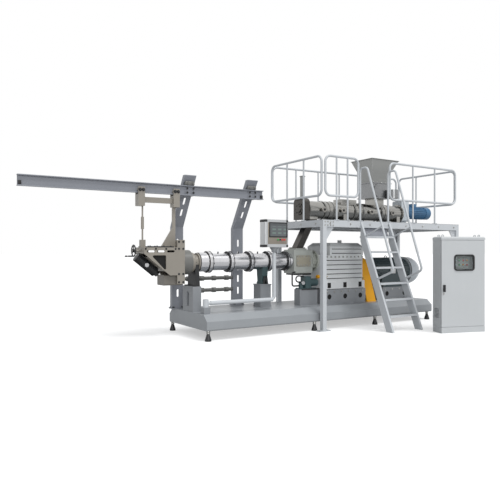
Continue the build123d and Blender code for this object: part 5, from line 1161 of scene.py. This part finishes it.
@dataclass
class Gantry(Assembly):
    """The two leaning posts, the long beam and the water pipes between the posts."""

    post_xs: Pair = (0.0, 1.2)
    foot_ys: Pair = (1.109, 1.216)
    foot_top: float = 0.418
    foot_half: float = 0.085
    foot_bolt: float = 0.030
    head_half: float = 0.055
    head_inset: float = 0.045
    head_bolt: float = 0.020
    clamp_half: float = 0.085
    clamp_ys: Pair = (-0.085, -0.012)
    clamp_zs: Pair = (0.001, 0.075)
    clamp_bolt_z: float = 0.036
    stop_inset: float = 0.03
    stop_shift: float = 0.024
    stop_half: Pair = (0.02, 0.016)
    stop_zs: Pair = (0.012, 0.075)

    def fit(self) -> None:
        """Add the foot bolts, head bolts, head clamps and end stops."""
        low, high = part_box("gantry_beam")
        bolts, heads = Forge("gantry_bolts"), Forge("post_head_clamps")
        head_zs = (low[2] + self.head_inset, high[2] - self.head_inset)
        near, far = (high[1] + y for y in self.clamp_ys)
        foot, top = (high[2] + z for z in self.clamp_zs)
        for x in self.post_xs:
            xs = (x - self.foot_half, x + self.foot_half)
            bolts.bolt_rows(xs, self.foot_ys, (self.foot_top,), Way.UP, self.foot_bolt)
            xs = (x - self.head_half, x + self.head_half)
            bolts.bolt_rows(xs, (low[1],), head_zs, Way.FRONT, self.head_bolt)
            heads.block((x - self.clamp_half, near, foot), (x + self.clamp_half, far, top), 0.022, 3)
            xs = (x - self.head_inset, x + self.head_inset)
            heads.bolt_rows(xs, (near,), (high[2] + self.clamp_bolt_z,), Way.FRONT, self.foot_bolt)
        bolts.done("black_iron")
        heads.done("pipe_dark")
        stops = Forge("beam_end_stops")
        half_x, half_y = self.stop_half
        foot, top = (low[2] + z for z in self.stop_zs)
        for x, side in product((low[0] + self.stop_inset, high[0] - self.stop_inset), (-1.0, 1.0)):
            y = middle(low[1], high[1]) + side * self.stop_shift
            stops.block((x - half_x, y - half_y, foot), (x + half_x, y + half_y, top), 0.004)
        stops.done("black_plastic", RUBBER)


@dataclass
class OperatorPanel(Assembly):
    """The operator's panel on its swing arm."""

    left: float = 1.13
    right: float = 1.60
    front: float = 0.115
    back: float = 0.285
    bottom: float = 1.4475
    top: float = 1.9125
    cap_reach: float = 0.048
    cap_proud: float = 0.003
    pole: Pair = (1.365, 0.2)
    arm_z: float = 0.5625
    arm_start: float = 0.14
    sleeve_radius: float = 0.034
    neck: Outline = (
        (0.0, 0.0), (0.074, 0.0), (0.076, 0.004), (0.074, 0.016), (0.048, 0.050),
        (0.044, 0.086), (0.0, 0.088),
    )
    face_rim: float = 0.052
    face_right: float = 0.030
    bezel: float = 0.020
    bezel_proud: float = 0.011
    key_xs: Floats = (1.3725, 1.4175, 1.4625, 1.5075)
    key_z: float = 1.574
    key_face: float = 0.094
    key_span: Pair = (-0.004, 0.006)
    key_radius: float = 0.0145

    def fit(self) -> None:
        """Add corner caps, the arm's sleeve and neck, the face plate, the screen's bezel and the keys."""
        caps = Forge("panel_corner_caps")
        proud, reach = self.cap_proud, self.cap_reach
        corners = product(((self.left, 1.0), (self.right, -1.0)), ((self.bottom, 1.0), (self.top, -1.0)))
        for (x, inward), (z, upward) in corners:
            outer = (x - inward * proud, self.front - proud, z - upward * proud)
            caps.block(outer, (x + inward * reach, self.back + proud, z + upward * reach), 0.014, 3)
        caps.done("black_plastic", body=Body.PANEL)
        sleeve = Forge("panel_arm_sleeve")
        pole_x, pole_y = self.pole
        along = (self.arm_start, pole_x - 0.03)
        sleeve.drum((0.0, pole_y, self.arm_z), Way.RIGHT, along, self.sleeve_radius, 28, 0.004)
        upright = (self.arm_z + 0.04, self.bottom - 0.098)
        sleeve.drum((*self.pole, 0.0), Way.UP, upright, self.sleeve_radius, 28, 0.004)
        sleeve.done("silver_paint", body=Body.ARM)
        neck = Forge("panel_neck")
        neck.lathe((*self.pole, self.bottom + 0.002), Way.DOWN, self.neck, 36)
        neck.done("column_grey", body=Body.PANEL)
        face = Forge("panel_face")
        face.block(
            (self.left + self.face_rim, self.front - 0.003, self.bottom + self.face_rim),
            (self.right - self.face_right, self.front + 0.002, self.top - self.face_rim),
            0.001,
        )
        face.done("panel_beige", PANEL_TAN, Body.PANEL)
        self._screen()

    def _screen(self) -> None:
        """Add the bezel round the screen and the caps of the keys."""
        bezel = Forge("screen_bezel")
        rim, (x, z) = self.bezel, SCREEN_CENTRE
        half_x, half_z = (size / 2.0 for size in SCREEN_SIZE)
        near, far = self.front - self.bezel_proud, self.front + 0.002
        for side in (-1.0, 1.0):
            inner, outer = x + side * half_x, x + side * (half_x + rim)
            bezel.block((inner, near, z - half_z - rim), (outer, far, z + half_z + rim), 0.003)
            inner, outer = z + side * half_z, z + side * (half_z + rim)
            bezel.block((x - half_x - rim / 2.0, near, inner), (x + half_x + rim / 2.0, far, outer), 0.003)
        bezel.done("black_plastic", body=Body.PANEL)
        keys = (("green", GREEN_CAP), ("black", None), ("red", RED_CAP), ("stop", RED_CAP))
        for x, (name, cap) in zip(self.key_xs, keys):
            key = Forge(f"panel_key_{name}")
            key.drum((x, self.key_face, self.key_z), Way.FRONT, self.key_span, self.key_radius, 24, 0.003)
            key.done("black_plastic", cap, Body.PANEL)


@dataclass
class Platform(Assembly):
    """The raised deck with its legs, railings and ladder."""

    railings: Names = ("front_railings", "side_railings", "back_railing", "ladder_handrails")
    deck: float = 1.925
    deck_slack: float = 0.0015
    post_reach: float = 0.06
    foot_hole: float = 0.015
    foot_radius: float = 0.046
    foot_height: float = 0.008
    foot_ring: float = 0.035
    frame_bolt: float = 0.018
    corner_bolt: float = 0.016
    ladder_xs: Pair = (3.04, 3.71)
    ladder_line: float = -0.87
    ladder_run: float = 0.775
    treads: int = 6
    tread_rise: float = 0.275
    nose_start: float = 0.006
    nose_pitch: float = 0.016
    nose_width: float = 0.010
    top_plate_drop: float = 0.15
    top_plate_half: float = 0.13

    def fit(self) -> None:
        """Add railing feet, deck bolts, the ladder's top plate and ribbed tread noses."""
        feet = Forge("railing_feet")
        for x, y in self._post_feet():
            at = (x, y, self.deck + self.foot_height / 2.0)
            feet.band(at, Way.UP, self.foot_hole, self.foot_radius, self.foot_height, 24)
            at = (x, y, self.deck + self.foot_height)
            feet.bolt_circle(at, Way.UP, self.foot_ring, 4, 0.010, math.pi / 4.0)
        feet.done("silver_paint")
        low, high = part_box("platform_frame")
        z = middle(low[2], high[2])
        bolts = Forge("deck_frame_bolts")
        xs = evenly(low[0] + 0.16, high[0] - 0.16, 8)
        bolts.bolt_faces(xs, (low[1], high[1]), (z,), self.frame_bolt)
        bolts.bolt_rows((low[0],), evenly(low[1] + 0.2, high[1] - 0.2, 4), (z,), Way.LEFT, self.frame_bolt)
        xs = evenly(low[0] + 0.05, low[0] + 0.23, 4)
        bolts.bolt_rows(xs, (low[1],), (z - 0.03, z + 0.03), Way.FRONT, self.corner_bolt)
        bolts.done("tool_steel", ZINC)
        self._ladder()

    def _ladder(self) -> None:
        """Add the plate behind the ladder's top and the noses of its treads."""
        slope = self.deck / self.ladder_run
        left, right = self.ladder_xs
        z = self.deck - self.top_plate_drop
        lean = Matrix.Rotation(-math.atan(1.0 / slope), 4, "X")
        place = Matrix.Translation((middle(left, right), self.ladder_line + z / slope, z)) @ lean
        plate = Forge("ladder_top_plate", place)
        across, up = (right - left) / 2.0, self.top_plate_half
        plate.block((-across, 0.03, -up), (across, 0.036, up), 0.001)
        plate.done("beam_grey")
        noses = Forge("tread_noses")
        for number, strip in product(range(1, self.treads + 1), range(3)):
            top = number * self.tread_rise
            y = self.ladder_line + top / slope + self.nose_start + strip * self.nose_pitch
            far = (right - 0.01, y + self.nose_width, top + 0.003)
            noses.block((left + 0.01, y, top - 0.001), far, 0.0012)
        noses.done("black_plastic", RUBBER)

    def _post_feet(self) -> list[Pair]:
        """Find where the railings' posts stand on the deck.

        Returns:
            One x, y pair for each post, from the CAD railings' points at deck height.
        """
        posts: list[list[Vector]] = []
        for node in self.railings:
            for vert in frame["nodes"][node].data.vertices:
                if abs(vert.co.z - self.deck) > self.deck_slack:
                    continue
                spot = vert.co.xy
                near = (post for post in posts if (post[0] - spot).length < self.post_reach)
                home = next(near, None)
                if home is None:
                    posts.append([spot])
                else:
                    home.append(spot)
        spreads = [([spot.x for spot in post], [spot.y for spot in post]) for post in posts]
        return [(middle(min(xs), max(xs)), middle(min(ys), max(ys))) for xs, ys in spreads]


@dataclass
class Conditioner(Assembly):
    """The conditioner on the deck with its drive, feeder and hopper."""

    axis: Pair = (0.58, 2.15)
    start: float = 2.30
    length: float = 2.45
    flange: float = 0.026
    flange_ring: float = 0.178
    flange_bolt: float = 0.017
    band_shares: Floats = (0.2, 0.504, 0.794)
    strap_shift: float = 0.103
    strap: Triple = (0.170, 0.176, 0.026)
    lug_half: Pair = (0.016, 0.03)
    lug_ys: Pair = (0.392, 0.41)
    port_shares: Floats = (0.13, 0.32, 0.62, 0.86)
    port_face: float = 0.372
    end_face: float = 2.19
    end_cover: Outline = (
        (0.0, 0.0), (0.105, 0.0), (0.108, 0.003), (0.108, 0.015), (0.105, 0.018), (0.066, 0.018),
        (0.060, 0.034), (0.0, 0.036),
    )
    motor_axis: Pair = (0.58, 2.19)
    motor_top: float = 2.318
    box_xs: Pair = (5.14, 5.28)
    grille_rings: Floats = (0.03, 0.055, 0.08, 0.105)
    hopper_neck: Floats = (4.095, 0.58, 0.50, 0.38, 2.94)  # middle X and Y, both widths and Z
    hopper_top: Floats = (4.212, 0.68, 0.735, 0.58, 3.205)
    seam_radius: float = 0.005

    def fit(self) -> None:
        """Add flange bolts, straps, ports, the end cover, seams and motor fittings."""
        bolts = Forge("conditioner_flange_bolts")
        ends = (self.start + self.flange, self.start + self.length - self.flange)
        for x, way in zip(ends, (Way.RIGHT, Way.LEFT)):
            bolts.bolt_circle((x, *self.axis), way, self.flange_ring, 12, self.flange_bolt, 0.2)
        bolts.done("tool_steel", ZINC)
        z = self.axis[1]
        straps = Forge("jacket_straps")
        half_x, half_z = self.lug_half
        for share, side in product(self.band_shares, (-1.0, 1.0)):
            x = self.start + self.length * share + side * self.strap_shift
            straps.band((x, *self.axis), Way.RIGHT, *self.strap)
            near, far = self.lug_ys
            straps.block((x - half_x, near, z - half_z), (x + half_x, far, z + half_z), 0.003)
        straps.done("pipe_dark")
        plates, caps = Forge("port_plates"), Forge("port_caps")
        for share in self.port_shares:
            at = (self.start + self.length * share, self.port_face, z)
            plates.drum(at, Way.FRONT, (-0.006, 0.008), 0.058, 6, 0.002)
            caps.drum(at, Way.FRONT, (0.0, 0.018), 0.022, 24, 0.003)
        plates.done("tool_steel")
        caps.done("black_plastic")
        cover = Forge("end_bearing_cover")
        cover.lathe((self.end_face + 0.004, *self.axis), Way.LEFT, self.end_cover, 40)
        cover.bolt_circle((self.end_face - 0.014, *self.axis), Way.LEFT, 0.087, 8, 0.016)
        cover.done("chute_dark")
        self._motor()
        self._hopper()

    def _motor(self) -> None:
        """Add the blue motor's terminal box, lid and grille rings."""
        y, top = self.motor_axis[0], self.motor_top
        left, right = self.box_xs
        box = Forge("blue_motor_box")
        box.block((left, y - 0.055, top - 0.012), (right, y + 0.055, top + 0.052), 0.006, 3)
        box.block((left - 0.005, y - 0.06, top + 0.048), (right + 0.005, y + 0.06, top + 0.060), 0.003)
        box.bolt_rows((left + 0.005, right - 0.005), (y - 0.05, y + 0.05), (top + 0.060,), Way.UP, 0.008)
        box.done("blue_paint")
        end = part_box("conditioner_motor")[1][0]
        grille = Forge("blue_motor_grille")
        for radius in self.grille_rings:
            at = (end - 0.002, *self.motor_axis)
            grille.band(at, Way.RIGHT, radius - 0.004, radius + 0.004, 0.004, 32)
        grille.done("pipe_dark")

    def _hopper(self) -> None:
        """Add weld seams up the hopper's corners and bolts on the feeder's flange."""
        seams_and_shade_lines = Forge("hopper_seams")
        for side_x, side_y in product((-0.5, 0.5), repeat=2):
            line = [
                (x + side_x * width, y + side_y * depth, z)
                for x, y, width, depth, z in (self.hopper_neck, self.hopper_top)
            ]
            seams_and_shade_lines.tube(line, self.seam_radius, 8)
        seams_and_shade_lines.done("hopper_steel")
        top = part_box("feeder_housing")[1][2]
        x, y = self.hopper_neck[:2]
        bolts = Forge("feeder_flange_bolts")
        bolts.bolt_rows(evenly(x - 0.22, x + 0.22, 5), (y - 0.2,), (top,), Way.UP, 0.014)
        bolts.done("tool_steel", ZINC)


@dataclass
class Cabinet(Assembly):
    """The free-standing control cabinet with its windowed door."""

    centre: Pair = (4.11, -1.404)
    turn: float = math.radians(-17.5)
    half_width: float = 0.425
    front: float = -0.125
    window: Pair = (0.015, 1.185)
    lamp_pitch: float = 0.075
    lamp_face: float = -0.0425
    lamp_span: Pair = (-0.006, 0.008)
    lamp_radius: float = 0.0145
    lock: Pair = (-0.38, 0.665)
    vent_z: float = 0.33
    vent_pitch: float = 0.024
    vents: int = 7
    hood_depth: float = 0.007
    hood_ys: Pair = (-0.062, 0.078)
    hood_zs: Pair = (0.0045, 0.0085)

    @property
    def place(self) -> Matrix:
        """The cabinet's own frame: width along X, front towards -Y."""
        return Matrix.Translation((*self.centre, 0.0)) @ Matrix.Rotation(self.turn, 4, "Z")

    def fit(self) -> None:
        """Add lamps, the lock and the louvre hoods."""
        colours = (
            ("white", WHITE_CAP, ((-1.5, 0.5), (-1.5, -0.5))),
            ("green", GREEN_CAP, ((-0.5, 0.5), (-0.5, -0.5))),
            ("red", RED_CAP, ((0.5, 0.5), (1.5, -0.5))),
            ("amber", AMBER_CAP, ((1.5, 0.5), (0.5, -0.5))),
        )
        for name, cap, spots in colours:
            lamp = Forge(f"cabinet_lamps_{name}", self.place)
            for column, row in spots:
                x, z = self.window[0] + column * self.lamp_pitch, self.window[1] + row * self.lamp_pitch
                lamp.drum((x, self.lamp_face, z), Way.FRONT, self.lamp_span, self.lamp_radius, 24, 0.003)
            lamp.done("panel_beige", cap)
        lock = Forge("door_lock", self.place)
        x, z = self.lock
        lock.band((x, self.front - 0.003, z), Way.FRONT, 0.006, 0.014, 0.008, 24)
        lock.drum((x, self.front, z), Way.FRONT, (-0.002, 0.004), 0.007)
        lock.done("tool_steel", ZINC, Body.DOOR)
        hoods = Forge("vent_hoods", self.place)
        (near, far), (foot, top) = self.hood_ys, self.hood_zs
        for number, side in product(range(self.vents), (-1.0, 1.0)):
            z = self.vent_z + (number - (self.vents - 1) / 2.0) * self.vent_pitch
            wall, lip = side * self.half_width, side * (self.half_width + self.hood_depth)
            hoods.block((wall, near, z + foot), (lip, far, z + top))
        hoods.done("cabinet_grey")


# ---------------------------------------------------------------- studio


@dataclass
class Studio:
    """Pale floor, soft light and the camera at the photograph's place."""

    eye: Triple = (-3.828, -7.315, 1.4)
    yaw: float = math.radians(32.076)
    lens: float = 38.67
    sensor: float = 36.0
    far_end: float = 400.0
    floor_size: float = 160.0
    floor_bounce: Triple = (0.80, 0.80, 0.80)
    floor_seen: Rgba = (0.62, 0.62, 0.62, 1.0)
    floor_glow: float = 0.46
    sun_strength: float = 1.70
    sun_from: Triple = (0.20, -0.48, 1.0)
    sun_spread: float = math.radians(24.0)
    fill_strength: float = 0.90
    fill_from: Triple = (-0.32, -0.88, 0.30)
    ambient: float = 0.60
    ambient_colour: Rgba = (0.97, 0.985, 1.0, 1.0)

    def camera(self) -> None:
        """Set the camera."""
        data = bpy.data.cameras.new("photo_camera")
        data.lens, data.sensor_width, data.clip_end = self.lens, self.sensor, self.far_end
        view = bpy.data.objects.new("photo_camera", data)
        view.location = self.eye
        view.rotation_euler = (math.pi / 2.0, 0.0, -self.yaw)
        bpy.context.scene.collection.objects.link(view)
        bpy.context.scene.camera = view

    def floor(self) -> None:
        """Lay the floor, white to the camera and still taking shadows."""
        bm = bmesh.new()
        bmesh.ops.create_grid(bm, x_segments=1, y_segments=1, size=self.floor_size)
        mesh = bpy.data.meshes.new("studio_floor")
        bm.to_mesh(mesh)
        bm.free()
        loom = Loom.of_material("studio_floor")
        tone = 0.99 + loom.noise(0.6, 2.0) * 0.02
        bounce = loom.node("BsdfDiffuse", {"Color": loom.shade(self.floor_bounce, tone)})
        glow = loom.node("Emission", {"Color": WHITE, "Strength": self.floor_glow})
        pale = loom.node("BsdfDiffuse", {"Color": self.floor_seen})
        seen = loom.node("AddShader", {0: pale, 1: glow})
        camera = loom.node("LightPath", output="Is Camera Ray")
        shown = loom.node("MixShader", {0: camera, 1: bounce, 2: seen})
        loom.node("OutputMaterial", {"Surface": shown})
        mesh.materials.append(loom.owner)
        floor = bpy.data.objects.new("studio_floor", mesh)
        bpy.context.scene.collection.objects.link(floor)

    def light(self) -> None:
        """Set the sky, one broad soft lamp from above and a low one from the front."""
        world = bpy.data.worlds.new("studio_sky")
        bpy.context.scene.world = world
        loom = Loom(world)
        camera, glossy, clear = (
            loom.node("LightPath", output=f"Is {kind} Ray") for kind in ("Camera", "Glossy", "Transmission")
        )
        sky = loom.node("Background", {"Color": self.ambient_colour, "Strength": self.ambient})
        backdrop = loom.node("Background", {"Color": WHITE})
        both = loom.node("MixShader", {0: camera.either(glossy).either(clear), 1: sky, 2: backdrop})
        loom.node("OutputWorld", {"Surface": both})
        for name, strength, origin in (
            ("key_lamp", self.sun_strength, self.sun_from),
            ("fill_lamp", self.fill_strength, self.fill_from),
        ):
            data = bpy.data.lights.new(name, "SUN")
            data.energy, data.angle = strength, self.sun_spread
            lamp = bpy.data.objects.new(name, data)
            lamp.rotation_euler = Vector(origin).to_track_quat("Z", "Y").to_euler()
            bpy.context.scene.collection.objects.link(lamp)
        bpy.context.scene.view_settings.view_transform = "Standard"

    def set_up(self) -> None:
        """Build the whole studio."""
        self.camera()
        self.floor()
        self.light()


def main() -> None:
    """Dress the CAD nodes, add the fittings and set up the studio."""
    logging.basicConfig(level=logging.INFO, format="%(name)s: %(message)s")
    dress()
    for part in (Skid, Barrel, Cutter, Drive, Gantry, OperatorPanel, Platform, Conditioner, Cabinet):
        part().fit()
    Studio().set_up()


if __name__ == "__main__":
    main()
